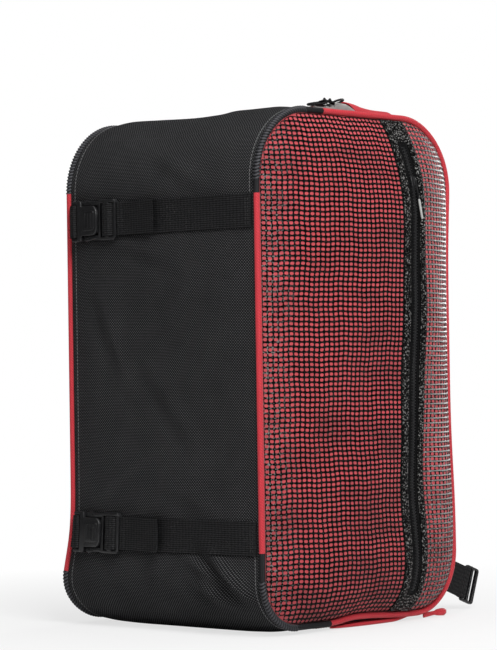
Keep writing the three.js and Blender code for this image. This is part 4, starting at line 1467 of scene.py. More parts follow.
class DUFFEL_OT_net(Make):
    """Coated black net over the red front, on both sides of the pocket zip"""
    bl_idname = "duffel.net"
    bl_label = "Net"

    def make(self):
        half = half_width()
        low, high = heights = front_heights()
        zip_low, zip_top = (low + (high - low) * POCKET_ROWS[key] for key in ("low", "top"))
        inner, outer = (
            [trim().pocket_x + side * reach for side in (-1, 1)]
            for reach in (trim().binding_inner, trim().binding_outer))
        pitch = (net_sizes().pitch_across, net_sizes().pitch_up)
        for name, finish, x_ends, z_ends, mesh_pitch, base in (
            ("net_left", coated_net, (-half, outer[0]), heights, pitch, on_cloth()),
            ("net_right", sparkling_net, (outer[1], half), heights, pitch, on_cloth()),
            ("net_over_zip", binding_net, inner, (zip_top + NET_LAP, high), BINDING_PITCH, on_tape()),
            ("net_under_zip", binding_net, inner, (low, zip_low - NET_LAP), BINDING_PITCH, on_tape()),
        ):
            form = lattice(x_ends, z_ends, mesh_pitch, lambda x: base)
            soft_piece(name, [form], finish, "black_trim", sharp="round")


RED_RUN = {"low": 0.094, "high": 0.492}  # red part of the left front piping
MAIN_ZIP = {"start": -0.058, "end": -0.058}  # left ends of the main zip on the top and the bottom
ZIP_STRETCHES = [
    ("top", MAIN_ZIP["start"], "end"),
    ("right", "start", "end"),
    ("bottom", "start", MAIN_ZIP["end"]),
]
RIB = {"pitch": 0.0038, "rise": 0.20, "slant": 0.5, "rows": 7}
PIPING_SIDES = 14
CORD_STEP = 0.003
DEPTH_WAY = np.array([0, 1.0, 0])
WELT = {
    "ends": (-0.056, 0.108), "climb": (0.055, 0.108), "rise": 0.006, "radius": 0.0024,
    "depth": 0.0030, "clear": 0.0002, "blunt": 0.35, "rows": 60,
}


def seam_ends():
    """Where the straight part of each run of the seams begins and ends, as heights or X."""
    size = body()
    half = size.seam_width / 2
    return {
        "left": (size.seam_low + size.bottom_left, size.seam_high - size.top_left),
        "top": (size.top_left - half, half - size.top_right),
        "right": (size.seam_high - size.top_right, size.seam_low + size.bottom_right),
        "bottom": (half - size.bottom_right, size.bottom_left - half),
    }


def seam_corner(run, after):
    """The round stretch from one run of the seams to the one after it."""
    ends = seam_ends()
    return [(run, ends[run][1], "end"), (after, "start", ends[after][0])]


class DUFFEL_OT_piping(Make):
    """Corded seams round the front and the back, ribbed at the black corners"""
    bl_idname = "duffel.piping"
    bl_label = "Piping"

    def make(self):
        self.front()
        self.welt()
        self.back()

    def front(self):
        ends = seam_ends()
        low, high = RED_RUN["low"], RED_RUN["high"]
        self.cord("front_red_left", FRONT, [("left", low, high)], red_tape)
        self.cord("front_red_right", FRONT, ZIP_STRETCHES, red_tape)
        self.cord("front_corner_top", FRONT, seam_corner("left", "top"), ribbed_tape)
        self.cord("front_corner_bottom", FRONT, seam_corner("bottom", "left"), ribbed_tape)
        smooth = {
            "left_above_red": ("left", high, ends["left"][1]),
            "left_below_red": ("left", ends["left"][0], low),
            "top_before_red": ("top", ends["top"][0], MAIN_ZIP["start"]),
            "bottom_after_red": ("bottom", MAIN_ZIP["end"], ends["bottom"][1]),
        }
        for name, stretch in smooth.items():
            self.cord(name, FRONT, [stretch], piping_tape, replaces=False)

    def welt(self):
        """Red edge of the main zip that hangs under the bowed lower seam."""
        x = np.linspace(*WELT["ends"], WELT["rows"])
        thin = np.sin(np.linspace(0, 1, WELT["rows"]) * pi) ** WELT["blunt"]
        radii = WELT["radius"] * thin[:, None] + np.zeros(PIPING_SIDES)
        depth = np.full(WELT["rows"], WELT["depth"] - body().seam_depth / 2)
        climb = smooth_step(x, *WELT["climb"]) * WELT["rise"]
        path = np.stack([x, depth, WELT["radius"] + WELT["clear"] + climb], -1)
        form = tube(path, radii, PIPING_SIDES, DEPTH_WAY)
        soft_piece("main_zip_welt", [form], red_tape, "red_trim", sharp="round")

    def back(self):
        order = list(RUNS)
        for run, after in zip(order, order[1:] + order[:1]):
            self.cord(f"back_{run}", BACK, [(run, *seam_ends()[run])], red_tape)
            self.cord(f"back_corner_{run}_{after}", BACK, seam_corner(run, after), ribbed_tape)

    def cord(self, name, facing, stretches, finish, replaces=True):
        ribbed = finish is ribbed_tape
        step = RIB["pitch"] / RIB["rows"] if ribbed else CORD_STEP
        share = 0.0 if facing == FRONT else 1.0
        path = gusset_grid(stretches, [share], 0.0, step, facing * body().seam_depth / 2)[:, 0]
        if facing == FRONT:
            path[:, 2] += bow(path[:, 0]) * (path[:, 2] < body().seam_high / 2)
        around = np.arange(PIPING_SIDES + 1) / PIPING_SIDES
        lead = RIB["slant"] * RIB["pitch"] * np.cos(2 * pi * around)
        wave = np.cos(2 * pi * (run_lengths(path)[:, None] + lead[:-1]) / RIB["pitch"])
        radii = body().piping / 2 * (1 - RIB["rise"] * wave * ribbed)
        form = tube(path, radii, PIPING_SIDES, DEPTH_WAY, lead=lead)
        slot = "red_trim" if finish is red_tape else "black_trim"
        nodes = [f"piping_{name}"] if replaces else ()
        soft_piece(f"piping_{name}_cord", [form], finish, slot, nodes, "round")


ZIP_SHARES = {"front": 0.012, "back": 0.075}
ZIP_TAPE = {"step": 0.004, "columns": 13, "ridges": 3, "rise": 0.0003}
COIL = {
    "from": -0.057, "to": 0.011, "front": 0.014, "back": 0.050, "pitch": 0.0016, "height": 0.0022,
    "climb": 0.0060, "wire": 0.42, "foot": 0.0005, "wall_rows": 4,
}
COIL_ARCH = np.array([0.5, 1.1, 1.7, 1.7, 1.1, 0.5])  # heights of a tooth's points, in half coil heights
COIL_TAPER = np.array([0.6, 1, 1, 1, 1, 0.6])

# X and share of the coil's climb
COIL_HUMP = [(-0.057, 0.0), (-0.040, 0.25), (-0.016, 1.0), (-0.004, 0.9), (0.011, 0.0)]

# X and height of the hood over the end of the coil
HOOD_RISE = [(-0.009, 0.0090), (0.008, 0.0075), (0.026, 0.0045), (0.050, 0.0024), (0.076, 0.0020)]
HOOD_SHARES = {"front": 0.014, "back": 0.074}
HOOD = {"slant": 0.020, "blunt": 0.8, "rows": 40, "columns": 15}  # slant of its mouth, and its arch
SLIDER = {"half_wide": 0.0045, "half_long": 0.007, "thick": 0.0036}

# Main zip's sliders: X of each one, X of its pull's two ends, and how the pull leans, stands and rolls
MAIN_SLIDERS = [
    {"at": -0.048, "pull": (-0.064, -0.040), "lean": 0.003, "stand": (-0.0050, 0.0), "roll": 0.0},
    {"at": -0.030, "pull": (-0.030, -0.006), "lean": -0.003, "stand": (0.0, 0.0030), "roll": 0.0030},
]
SLIDER_DEPTH = -0.137
PULL = {"cord": 0.0026, "half_wide": 0.0042, "rows": 90, "sides": 8}
PULL_TWIST = {"strands": 3, "rows": 5, "rise": 0.10}
KNOT = {
    "at": 0.012, "half_long": 0.010, "half_wide": 0.0035, "height": 0.0030, "wave": 0.0022, "phase": 0.5,
    "rows": 120,
}
UP_WAY = np.array([0, 0, 1.0])


def full_turn(count):
    return np.linspace(0, 2 * pi, count, endpoint=False)


def slider_meshes():
    """A zip slider: a waisted body, and a bridge that holds the pull."""
    wide, long, thick = SLIDER["half_wide"], SLIDER["half_long"], SLIDER["thick"]
    base = mirrored([
        (long, wide * 0.55), (long * 0.55, wide), (0, wide * 0.84), (-long * 0.6, wide), (-long, wide * 0.7)])
    turned = [(y, x) for x, y in reversed(base)]
    lower = plate(turned, [], 0, thick * 0.62, thick * 0.2)
    bridge = plate(rounded(wide * 0.34, long * 0.72, wide * 0.3), [], thick * 0.5, thick, thick * 0.16)
    return [lower, bridge]


class DUFFEL_OT_main_zip(Make):
    """Main zip: red tape, grey coil, hood, sliders and corded pulls"""
    bl_idname = "duffel.main_zip"
    bl_label = "Main zip"

    def make(self):
        self.tape()
        self.coil()
        self.hood()
        for k, row in enumerate(MAIN_SLIDERS):
            self.slider(k + 1, row)

    def tape(self):
        shares = np.linspace(ZIP_SHARES["front"], ZIP_SHARES["back"], ZIP_TAPE["columns"])
        ridges = np.linspace(0, ZIP_TAPE["ridges"], ZIP_TAPE["columns"])
        fold = ZIP_TAPE["rise"] * np.abs(np.cos(ridges * pi))
        walls = [
            gusset_grid(ZIP_STRETCHES, shares, on_cloth() + rise, ZIP_TAPE["step"])
            for rise in (trim().tape_thick + fold, 0)
        ]
        soft_piece("main_zip_tape_cloth", [shell(*walls)], red_tape, "red_trim", ["main_zip_tape"])

    def coil(self):
        shares = np.linspace(COIL["front"], COIL["back"], len(COIL_ARCH))
        grid = gusset_grid([("top", COIL["from"], COIL["to"])], shares, 0.0, COIL["pitch"])
        climb = COIL["climb"] * smooth_curve(grid[..., 0], *zip(*COIL_HUMP))
        grid[..., 2] += on_tape() + COIL_ARCH * COIL["height"] / 2 + climb
        radius = COIL["pitch"] * COIL["wire"]
        teeth = rods(grid, UP_WAY, COIL_TAPER * radius)
        wall = np.repeat(grid[:, :1], COIL["wall_rows"], axis=1)
        wall[..., 2] -= (climb[:, :1] + COIL["foot"]) * np.linspace(1, 0, COIL["wall_rows"])
        ends = rods(wall, -DEPTH_WAY, np.full(COIL["wall_rows"], radius))
        soft_piece("main_zip_teeth", [teeth, ends], grey_coil, "zip_coil", ["main_zip_coil"], "round")

    def hood(self):
        at = np.linspace(HOOD_RISE[0][0], HOOD_RISE[-1][0], HOOD["rows"])
        rise = smooth_curve(at, *zip(*HOOD_RISE))[:, None]
        across = np.linspace(0, 1, HOOD["columns"])
        shares = HOOD_SHARES["front"] + (HOOD_SHARES["back"] - HOOD_SHARES["front"]) * across
        arch = np.sin(across * pi) ** HOOD["blunt"]
        mouth = HOOD["slant"] * (1 - across) * np.linspace(1, 0, HOOD["rows"])[:, None] ** 2
        place = place_on("top", at[:, None] + mouth, shares)
        walls = [
            gusset("top", place, shares, on_tape() + lift + rise * arch) for lift in (trim().tape_thick, 0)]
        soft_piece("main_zip_hood_cloth", [shell(*walls)], red_tape, "red_trim", ["main_zip_hood"])

    def slider(self, number, row):
        above = trim().tape_thick + COIL["height"] + 3 * trim().gap
        seat = seat_on_gusset("top", row["at"], SLIDER_DEPTH, SLIDER["half_long"], SLIDER["half_wide"], above)
        node = f"main_zip_slider_{number}"
        hard_piece(f"{node}_body", slider_meshes(), seat, black_plastic, "plastic", [node])
        turn = full_turn(PULL["rows"])
        middle = sum(row["pull"]) / 2 - row["at"]
        half = (row["pull"][1] - row["pull"][0]) / 2
        left, right = row["stand"]
        rise = (left + right) / 2 + (right - left) / 2 * np.cos(turn) + row["roll"] * np.sin(turn)
        ring = seat_points(
            seat,
            PULL["half_wide"] * np.sin(turn) + row["lean"] * np.cos(turn),
            middle + half * np.cos(turn),
            SLIDER["thick"] + PULL["cord"] / 2 + trim().gap + rise,
        )
        lay = np.arange(PULL["rows"])[:, None] * 2 * pi / PULL_TWIST["rows"]
        twist = PULL_TWIST["rise"] * np.cos(PULL_TWIST["strands"] * full_turn(PULL["sides"]) + lay)
        form = tube(ring, PULL["cord"] / 2 * (1 + twist), PULL["sides"], np.array(seat)[:3, 2], closed=True)
        node = f"main_zip_pull_{number}"
        soft_piece(f"{node}_loop", [form], strap_weave, "webbing", [node], "round")
        if number == 1:
            self.knot(seat)

    def knot(self, seat):
        """Cord that ties the two pulls together."""
        turn = full_turn(KNOT["rows"])
        path = seat_points(
            seat,
            KNOT["half_wide"] * np.cos(3 * turn),
            KNOT["at"] + KNOT["half_long"] * np.sin(turn),
            SLIDER["thick"] + KNOT["height"] + KNOT["wave"] * np.sin(2 * turn + KNOT["phase"]),
        )
        form = tube(path, PULL["cord"] / 2, PULL["sides"], np.array(seat)[:3, 2], closed=True)
        soft_piece("main_zip_pull_knot", [form], strap_weave, "webbing", sharp="round")


POCKET_ROWS = {"low": 0.038, "top": 0.951, "slider": 0.87}
POCKET_TAPE = {"columns": 21, "rows": 130, "ridge": 0.0007, "ridge_at": 0.0060, "ridge_wide": 0.0018}
BINDING_PITCH = (0.0037, 0.0041)
BINDING = {"columns": 11, "rows": 200, "edge": 0.4, "padding": 0.3, "blunt": 0.6}
POCKET_TEETH = {"pitch": 0.0017, "half": 0.0024, "offset": 0.0010, "rise": 0.0009, "end": 0.004, "size": 0.44}

# One pocket tooth: places along it, and heights and radii there
TOOTH = {
    "along": np.array([-1, -0.4, 0.4, 1]),
    "rise": np.array([0.1, 1, 1, 0.1]),
    "radius": np.array([0.7, 1, 1, 0.7]),
}
POCKET_PULL = {
    "half_wide": 0.0013, "half_long": 0.024, "thick": 0.0022, "below": 0.021, "sleeve": 0.5, "eye_end": 0.003,
}
SEAT_PROBE = 0.01  # from the middle of a seat on the front to the spots that show how it lies
SLIDER_CLEAR = 0.0004


def pocket_ends():
    """Lower and upper end of the front at the pocket zip."""
    return (float(end) for end in panel_ends(np.array(trim().pocket_x)))


class DUFFEL_OT_pocket_zip(Make):
    """Pocket zip on the front: tape, teeth, bindings, slider and pale pull"""
    bl_idname = "duffel.pocket_zip"
    bl_label = "Pocket zip"

    def make(self):
        self.tape()
        self.teeth()
        for side, way in (("left", -1), ("right", 1)):
            self.binding(side, way)
        self.slider()

    def tape(self):
        rows = np.linspace(0, 1, POCKET_TAPE["rows"])
        off = trim().tape_half * np.linspace(-1, 1, POCKET_TAPE["columns"])
        from_ridge = (np.abs(off) - POCKET_TAPE["ridge_at"]) / POCKET_TAPE["ridge_wide"]
        ridge = POCKET_TAPE["ridge"] * np.exp(-from_ridge ** 2)[:, None]
        walls = [
            panel_grid(trim().pocket_x + off, rows, FRONT, on_cloth() + rise)
            for rise in (trim().tape_thick + ridge, 0)
        ]
        soft_piece("pocket_zip_tape_cloth", [shell(*walls)], black_tape, "black_trim", ["pocket_zip_tape"])

    def teeth(self):
        low, high = pocket_ends()
        first, last = (low + (high - low) * POCKET_ROWS[key] for key in ("low", "top"))
        z = np.arange(first + POCKET_TEETH["end"], last - POCKET_TEETH["end"], POCKET_TEETH["pitch"])
        side = np.where(np.arange(len(z)) % 2, 1, -1)[:, None] * POCKET_TEETH["offset"]
        x = trim().pocket_x + side + TOOTH["along"] * POCKET_TEETH["half"]
        rise = TOOTH["rise"] * POCKET_TEETH["rise"]
        lines = panel(x, z[:, None], FRONT, on_cloth() + trim().tape_thick + rise)
        radii = TOOTH["radius"] * POCKET_TEETH["pitch"] * POCKET_TEETH["size"]
        form = rods(lines, -DEPTH_WAY, radii)
        soft_piece("pocket_zip_teeth", [form], black_coil, "plastic", sharp="round")

    def top(self, x):
        """Height of a binding's padding at X."""
        inner, outer = trim().binding_inner, trim().binding_outer
        across = np.clip((np.abs(x - trim().pocket_x) - inner) / (outer - inner), 0, 1)
        padding = BINDING["padding"] * np.sin(across * pi) ** BINDING["blunt"]
        return on_cloth() + trim().binding_thick * (BINDING["edge"] + padding)

    def binding(self, side, way):
        ends = sorted(trim().pocket_x + way * reach for reach in (trim().binding_inner, trim().binding_outer))
        columns = np.linspace(*ends, BINDING["columns"])
        rows = np.linspace(0, 1, BINDING["rows"])
        walls = [
            panel_grid(columns, rows, FRONT, outset) for outset in (self.top(columns)[:, None], on_cloth())]
        node = f"pocket_binding_{side}"
        soft_piece(f"{node}_tape", [shell(*walls)], black_tape, "black_trim", [node])
        cover = lattice(ends, front_heights(), BINDING_PITCH, lambda x: self.top(x) + trim().gap)
        soft_piece(f"{node}_net", [cover], binding_net, "black_trim", sharp="round")

    def seat(self):
        """Where the slider lies on the front, with X to the right and Y up the zip."""
        x = trim().pocket_x
        low, high = pocket_ends()
        z = low + (high - low) * POCKET_ROWS["slider"]
        steps = SEAT_PROBE * np.array([(-1, 0), (1, 0), (0, -1), (0, 1)])
        spots = panel(x + steps[:, 0], z + steps[:, 1], FRONT, 0.0)
        across, up = unit(spots[1] - spots[0]), unit(spots[3] - spots[2])
        out = unit(np.cross(across, up))
        above = body().wall / 2 + trim().tape_thick + 2 * trim().gap + SLIDER_CLEAR
        origin = panel(np.array(x), np.array(z), FRONT, above)
        return basis(across, np.cross(out, across), out, origin)

    def slider(self):
        seat = self.seat()
        hard_piece(
            "pocket_zip_slider_body", slider_meshes(), seat, black_plastic, "plastic", ["pocket_zip_slider"])
        wide, long, thick = (POCKET_PULL[key] for key in ("half_wide", "half_long", "thick"))
        base = SLIDER["thick"] + trim().gap
        top, end = -POCKET_PULL["below"] + long, -POCKET_PULL["below"] - long
        joint = end + 2 * long * POCKET_PULL["sleeve"]
        half, middle = (top - joint) / 2, (0, (top + joint) / 2)
        cord = rounded(wide * 0.8, half, wide * 0.7, middle)
        eye = rounded(wide * 0.3, half - POCKET_PULL["eye_end"], wide * 0.25, middle)
        meshes = [plate(cord, [eye], base, base + thick * 0.8, thick * 0.25)]
        hard_piece("pocket_zip_pull_cord", meshes, seat, black_plastic, "plastic", [])
        sleeve = rounded(wide, (joint - end) / 2, wide * 0.8, (0, (joint + end) / 2))
        meshes = [plate(sleeve, [], base, base + thick, thick * 0.4)]
        hard_piece("pocket_zip_pull_tab", meshes, seat, pale_rubber, "pale_pull", ["pocket_zip_pull"])


# Buckle, drawn on its seat with X to the front of the bag and Y up
BUCKLE = {
    "half_wide": 0.0235, "plug_front": 0.038, "plug_back": 0.008, "arm_end": -0.019, "arm_inner": 0.0175,
    "socket_back": -0.037, "plug_thick": 0.006, "socket_thick": 0.009, "ease": 0.0011,
}
BUCKLE_SLOT = {"front": (0.026, 0.034), "rear": (0.011, 0.019), "socket": (-0.033, -0.027)}
SLOT_ROOM = 0.0007  # past each edge of the webbing in a slot

# Lower and upper face of the bars that the webbing turns round or lies under
BAR_FACES = {"front": (0.0037, 0.0060), "middle": (0.0030, 0.0062), "rear": (0.0008, 0.0060)}
SOCKET_BAR_FACES = (0.0027, 0.0072)
BAR = {"over": 0.001, "round": 0.3, "ease": 0.55}  # overlap, then roundings in half widths

# Rows of low rounded blocks: half sizes, corner, lower and upper end from the face they stand on, the
# rounding of their edges, and how many there are from the first one on
ARM_RIBS = {
    "half": (0.0007, 0.0021), "round": 0.0005, "rise": (-0.0004, 0.0006), "ease": 0.0003,
    "first": -0.0140, "pitch": 0.0028, "many": 4,
}
ARM_RIBS_ACROSS = 0.0206
SOCKET_PAD = {
    "half": (0.0105, 0.0115), "round": 0.003, "rise": (-0.0005, 0.0007), "ease": 0.0005,
    "first": -0.0065, "pitch": 0, "many": 1,
}
SOCKET_RIDGES = {
    "half": (0.0008, 0.0085), "round": 0.0006, "rise": (0.0004, 0.0013), "ease": 0.0003,
    "first": -0.0115, "pitch": 0.005, "many": 3,
}
CHEEK = {"over": 0.001, "half_wide": 0.0019, "round": 0.0015, "across": 0.0216, "low": 0.0003, "ease": 0.0009}
CHEEK_HEIGHT = 0.9  # part of the socket's thickness

# Way of the webbing through the plug and the socket, as X and height on the buckle's seat
PLUG_TURN = [
    (0.0400, 0.0009), (0.0340, 0.0009), (0.0260, 0.0009), (0.0200, 0.0010), (0.0172, 0.0014),
    (0.0156, 0.0028), (0.0154, 0.0046), (0.0166, 0.0064), (0.0190, 0.0072), (0.0225, 0.0074),
    (0.0260, 0.0071), (0.0284, 0.0060), (0.0300, 0.0044), (0.0320, 0.0031), (0.0350, 0.0027),
    (0.0400, 0.0027),
]
SOCKET_TURN = [
    (-0.0420, 0.0009), (-0.0370, 0.0009), (-0.0330, 0.0012), (-0.0298, 0.0024), (-0.0288, 0.0046),
    (-0.0298, 0.0074), (-0.0325, 0.0090), (-0.0360, 0.0088), (-0.0388, 0.0070), (-0.0405, 0.0045),
    (-0.0425, 0.0030),
]
STRAP_SHARES = {"front": 0.006, "back": 0.994}  # ends of the straps at the seams
STRAP_LEAVES = 0.046  # from a buckle's centre to where its webbing leaves the cloth
STRAP_ROWS = {"front": 60, "plug": 48, "tail": 30, "back": 6, "socket": 34, "across": 11}
TAIL_CURL = 1.6  # power by which a free tail rises
TACKS = {"shares": (0.020, 0.032), "reach": 0.45, "points": 40}


def eased(points, count):
    """A smooth curve of many points through a few."""
    points = np.asarray(points, float)
    spots = np.linspace(0, len(points) - 1, count)
    stops = np.arange(len(points))
    return np.stack([smooth_curve(spots, stops, points[:, k]) for k in range(points.shape[1])], -1)


def webbing_rows():
    """Places across the webbing, from its middle."""
    return np.linspace(-1, 1, STRAP_ROWS["across"]) * trim().webbing_width / 2


def slot_half():
    return trim().webbing_width / 2 + SLOT_ROOM


def buckle_seat(height):
    return seat_on_gusset(
        "left", height, trim().buckle_depth, BUCKLE["half_wide"], BUCKLE["plug_front"], trim().gap)


class DUFFEL_OT_straps(Make):
    """Side straps that turn round the buckles' bars, with their free tails, anchors and stitches"""
    bl_idname = "duffel.straps"
    bl_label = "Side straps"

    def make(self):
        for level, height in strap_heights().items():
            self.strap(level, height)

    def strap(self, level, height):
        seat = buckle_seat(height)
        rise = webbing_rows()
        heights = height + rise
        flat = on_cloth() + trim().webbing_thick / 2
        doubled = flat + trim().webbing_thick + trim().gap
        depth = trim().buckle_depth
        leaves = share_at(depth - STRAP_LEAVES)
        tail_end = share_at(depth - BUCKLE["plug_front"] - trim().tail)
        lift = trim().tail_lift * np.linspace(0, 1, STRAP_ROWS["tail"])[:, None] ** TAIL_CURL
        front = np.linspace(STRAP_SHARES["front"], leaves, STRAP_ROWS["front"])
        tail = np.linspace(leaves, tail_end, STRAP_ROWS["tail"])
        self.band(f"side_strap_{level}_webbing", [f"side_strap_{level}", f"strap_tail_{level}"], [
            self.on_gusset(heights, front, flat),
            self.on_seat(seat, eased(PLUG_TURN, STRAP_ROWS["plug"]), rise),
            self.on_gusset(heights, tail, doubled + lift),
        ])
        back = np.linspace(STRAP_SHARES["back"], share_at(depth + STRAP_LEAVES), STRAP_ROWS["back"])
        self.band(f"strap_anchor_{level}_webbing", [f"strap_anchor_{level}"], [
            self.on_gusset(heights, back, flat),
            self.on_seat(seat, eased(SOCKET_TURN, STRAP_ROWS["socket"]), rise),
            self.on_gusset(heights, back[::-1], doubled),
        ])
        self.tacks(level, height)

    def on_gusset(self, heights, shares, outset):
        shares = shares[:, None]
        return gusset("left", place_on("left", heights, shares), shares, outset)

    def on_seat(self, seat, turn, rise):
        return seat_points(seat, turn[:, :1], rise[None], turn[:, 1:])

    def band(self, name, nodes, rows):
        points, faces, places = strip(np.concatenate(rows), trim().webbing_thick)
        soft_piece(name, [(points, faces, places[..., ::-1])], strap_weave, "webbing", nodes, "webbing")

    def tacks(self, level, height):
        """Rows of stitches across the strap where it leaves the front seam."""
        reach = np.linspace(-TACKS["reach"], TACKS["reach"], TACKS["points"])
        heights = height + reach * trim().webbing_width
        top = on_cloth() + trim().webbing_thick
        forms = []
        for share in TACKS["shares"]:
            place = place_on("left", heights, share)
            forms.append(stitches(*(gusset("left", place, share, top + lift) for lift in STITCH_LIFTS)))
        soft_piece(f"side_strap_{level}_stitches", forms, black_thread, "webbing", sharp="round")


class DUFFEL_OT_buckles(Make):
    """Side release buckles of the two side straps"""
    bl_idname = "duffel.buckles"
    bl_label = "Buckles"

    def make(self):
        for level, height in strap_heights().items():
            seat = buckle_seat(height)
            for part, meshes in (("plug", self.plug()), ("socket", self.socket())):
                node = f"buckle_{part}_{level}"
                hard_piece(f"{node}_moulding", meshes, seat, black_plastic, "plastic", [node])

    def bar(self, ends, faces):
        """A rounded bar across the buckle."""
        low, high = faces
        half = (ends[1] - ends[0]) / 2
        rim = rounded(half, slot_half() + BAR["over"], half * BAR["round"], ((ends[0] + ends[1]) / 2, 0))
        return plate(rim, [], low, high, min(half, (high - low) / 2) * BAR["ease"])

    def blocks(self, row, across, face):
        """A row of low rounded blocks on a face of the buckle."""
        low, high = (face + rise for rise in row["rise"])
        for k in range(row["many"]):
            rim = rounded(*row["half"], row["round"], (row["first"] + k * row["pitch"], across))
            yield plate(rim, [], low, high, row["ease"])

    def plug(self):
        wide, front, back = (BUCKLE[key] for key in ("half_wide", "plug_front", "plug_back"))
        end, arm_inner = BUCKLE["arm_end"], BUCKLE["arm_inner"]
        inner, thick = slot_half(), BUCKLE["plug_thick"]
        meshes = [
            self.bar((BUCKLE_SLOT["front"][1], front), BAR_FACES["front"]),
            self.bar((BUCKLE_SLOT["rear"][1], BUCKLE_SLOT["front"][0]), BAR_FACES["middle"]),
            self.bar((back - BAR["over"], BUCKLE_SLOT["rear"][0]), BAR_FACES["rear"]),
        ]
        rail = [
            (front - 0.0005, inner), (front, wide - 0.004), (front - 0.003, wide), (back + 0.004, wide),
            (back - 0.006, wide - 0.0015), (end + 0.005, wide + 0.0006), (end, wide - 0.0015),
            (end, arm_inner), (back, arm_inner), (back + 0.002, inner),
        ]
        other_rail = [(x, -y) for x, y in reversed(rail)]
        for way, rim in ((1, rail), (-1, other_rail)):
            meshes.append(plate(rim, [], 0, thick, BUCKLE["ease"]))
            meshes.extend(self.blocks(ARM_RIBS, way * ARM_RIBS_ACROSS, thick))
        return meshes

    def socket(self):
        wide, back, end = (BUCKLE[key] for key in ("half_wide", "socket_back", "arm_end"))
        nose, shoulder = BUCKLE["arm_inner"] - trim().gap, end - trim().gap
        front, thick = BUCKLE["plug_back"] - trim().gap, BUCKLE["socket_thick"]
        slot_rear, slot_front = BUCKLE_SLOT["socket"]
        rim = mirrored([
            (front, 0.010), (front - 0.002, 0.0145), (front - 0.006, nose), (shoulder, nose),
            (shoulder - 0.001, wide), (slot_front, wide)])
        meshes = [
            plate(rim, [], 0, thick, BUCKLE["ease"]),
            self.bar((back, slot_rear), SOCKET_BAR_FACES),
            *self.blocks(SOCKET_PAD, 0, thick),
            *self.blocks(SOCKET_RIDGES, 0, thick),
        ]
        half_long, middle = (slot_front - back) / 2 + CHEEK["over"], (back + slot_front) / 2
        for way in (1, -1):
            cheek = rounded(half_long, CHEEK["half_wide"], CHEEK["round"], (middle, way * CHEEK["across"]))
            meshes.append(plate(cheek, [], CHEEK["low"], thick * CHEEK_HEIGHT, CHEEK["ease"]))
        return meshes


CORNER_TAB = {"turn": 20, "share": 0.1, "length": 0.062, "hugs": 0.03, "rows": 90}
CORNER_LOCK = {
    "half_long": 0.012, "half_wide": 0.0225, "round": 0.004, "thick": 0.005, "ease": 0.0010,
    "slot": 0.0032, "slot_at": 0.005, "slot_round": 0.0012,
}

# Way of the webbing from its root to the end of its turn round the lock's first bar, and back under it
LOCK_OUT = [
    (0.0007, 0.0009), (0.0200, 0.0010), (0.0420, 0.0012), (0.0560, 0.0016), (0.0610, 0.0031),
    (0.0650, 0.0035), (0.0678, 0.0026),
]
LOCK_TURN = [*LOCK_OUT, (0.0688, 0.0), *((x, -z) for x, z in reversed(LOCK_OUT))]


class DUFFEL_OT_corner_tab(Make):
    """Webbing tab at the lower right corner with its ladder lock"""
    bl_idname = "duffel.corner_tab"
    bl_label = "Corner tab"

    def make(self):
        turn = radians(CORNER_TAB["turn"])
        share = CORNER_TAB["share"]
        radius = corner_radius("bottom_right") + float(outline(np.array(share))[3])
        straight = float(place_on("right", "end", share)) - radius * pi / 4
        root = gusset("right", straight + radius * turn, share, body().wall / 2)
        out = np.array([cos(turn), 0, -sin(turn)])
        across = np.array([sin(turn), 0, cos(turn)])
        seat = basis(out, across, np.cross(out, across), root)
        self.tab(seat, radius)
        self.lock(seat)

    def tab(self, seat, radius):
        rise = webbing_rows()[None]
        way = eased(LOCK_TURN, CORNER_TAB["rows"])
        x, z = way[:, :1], way[:, 1:]
        hug = rise ** 2 / (2 * radius) * np.clip(1 - x / CORNER_TAB["hugs"], 0, 1)
        form = strip(seat_points(seat, x - hug, rise, z), trim().webbing_thick)
        soft_piece("corner_tab_webbing", [form], strap_weave, "webbing", ["corner_tab"], "webbing")

    def lock(self, seat):
        size = CORNER_LOCK
        centre = CORNER_TAB["length"] + trim().gap + size["half_long"]
        rim = rounded(size["half_long"], size["half_wide"], size["round"], (centre, 0))
        holes = [
            rounded(size["slot"], slot_half(), size["slot_round"], (centre + side * size["slot_at"], 0))
            for side in (-1, 1)
        ]
        lock = plate(rim, holes, -size["thick"] / 2, size["thick"] / 2, size["ease"])
        hard_piece("corner_lock_moulding", [lock], seat, black_plastic, "plastic", ["corner_lock"])


# Ribbon with a knob: X, height of its middle, half height and thickness
END_TAB = table("at height half thick", [
    (0.112, 0.0033, 0.0024, 0.0022),
    (0.122, 0.0044, 0.0026, 0.0022),
    (0.132, 0.0050, 0.0024, 0.0022),
    (0.138, 0.0052, 0.0036, 0.0050),
    (0.148, 0.0052, 0.0042, 0.0065),
    (0.153, 0.0052, 0.0026, 0.0040),
])
END_TAB_DEPTH = -0.149
END_TAB_GRID = {"rows": 60, "columns": 11}


class DUFFEL_OT_end_tab(Make):
    """Red ribbon with a knob under the front piping"""
    bl_idname = "duffel.end_tab"
    bl_label = "Zip end ribbon"

    def make(self):
        stops = [row["at"] for row in END_TAB]
        at = np.linspace(stops[0], stops[-1], END_TAB_GRID["rows"])
        height, half, thick = (
            smooth_curve(at, stops, [row[key] for row in END_TAB])[:, None]
            for key in ("height", "half", "thick"))
        level = np.linspace(-1, 1, END_TAB_GRID["columns"])[None]
        bulge = thick * (0.25 + 0.25 * (1 - level ** 4))
        x, z = at[:, None], height + level * half
        walls = [np.stack(np.broadcast_arrays(x, END_TAB_DEPTH + side * bulge, z), -1) for side in (-1, 1)]
        soft_piece("zip_end_tab_ribbon", [shell(*walls)], red_tape, "red_trim", ["zip_end_tab"], "round")


STITCH_SHARES = {"front": 0.016, "back": 0.970}
ZIP_STITCH = 0.006  # share of the depth from an edge of the main zip's tape to its stitches


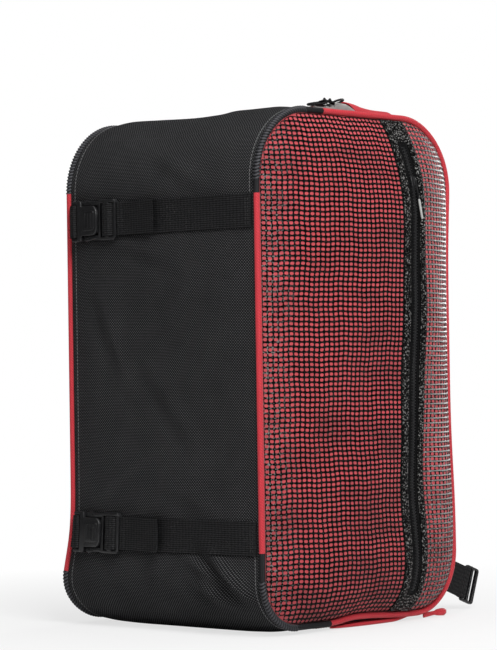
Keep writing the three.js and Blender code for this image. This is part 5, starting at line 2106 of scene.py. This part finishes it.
class DUFFEL_OT_stitching(Make):
    """Rows of stitches along the seams"""
    bl_idname = "duffel.stitching"
    bl_label = "Stitching"

    def make(self):
        cloth = body().wall / 2
        tape = on_cloth() + trim().tape_thick
        loop = [(run, "start", "end") for run in RUNS]
        top = [("left", RED_RUN["high"], "end"), ("top", "start", MAIN_ZIP["start"])]
        low = [("bottom", MAIN_ZIP["end"], "end"), ("left", "start", RED_RUN["low"])]
        for name, stretches, share, outset in (
            ("front_top_stitches", top, STITCH_SHARES["front"], cloth),
            ("front_low_stitches", low, STITCH_SHARES["front"], cloth),
            ("back_seam_stitches", loop, STITCH_SHARES["back"], cloth),
            ("zip_front_stitches", ZIP_STRETCHES, ZIP_SHARES["front"] + ZIP_STITCH, tape),
            ("zip_back_stitches", ZIP_STRETCHES, ZIP_SHARES["back"] - ZIP_STITCH, tape),
        ):
            form = gusset_stitches(stretches, share, outset)
            soft_piece(name, [form], sewing_thread, "black_trim", sharp="round")


MAKERS = [
    DUFFEL_OT_stage,
    DUFFEL_OT_gusset,
    DUFFEL_OT_panels,
    DUFFEL_OT_net,
    DUFFEL_OT_piping,
    DUFFEL_OT_main_zip,
    DUFFEL_OT_pocket_zip,
    DUFFEL_OT_straps,
    DUFFEL_OT_buckles,
    DUFFEL_OT_corner_tab,
    DUFFEL_OT_end_tab,
    DUFFEL_OT_stitching,
]


class DUFFEL_PT_sidebar(bpy.types.Panel):
    """Sizes, colours and pieces of the bag"""
    bl_idname = "DUFFEL_PT_sidebar"
    bl_label = "Dive Duffel Bag"
    bl_space_type = "VIEW_3D"
    bl_region_type = "UI"
    bl_category = "Duffel"

    def draw(self, context):
        for name in SETTINGS:
            box = self.layout.box()
            settings = getattr(context.scene, name)
            for key in settings.__annotations__:
                box.prop(settings, key)
        for maker in MAKERS:
            self.layout.operator(maker.bl_idname)


def register():
    for kind in (*SETTINGS.values(), *MAKERS, DUFFEL_PT_sidebar):
        bpy.utils.register_class(kind)
    for name, kind in SETTINGS.items():
        setattr(bpy.types.Scene, name, bpy.props.PointerProperty(type=kind))


def unregister():
    for name in SETTINGS:
        delattr(bpy.types.Scene, name)
    for kind in (DUFFEL_PT_sidebar, *reversed(MAKERS), *reversed(SETTINGS.values())):
        bpy.utils.unregister_class(kind)


def main():
    register()
    for maker in MAKERS:
        area, name = maker.bl_idname.split(".")
        getattr(getattr(bpy.ops, area), name)()
    boxes = {"cad": CAD_BOX, "visual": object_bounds()}
    {name: [list(corner) for corner in box] for name, box in boxes.items()}


if __name__ == "__main__":
    main()
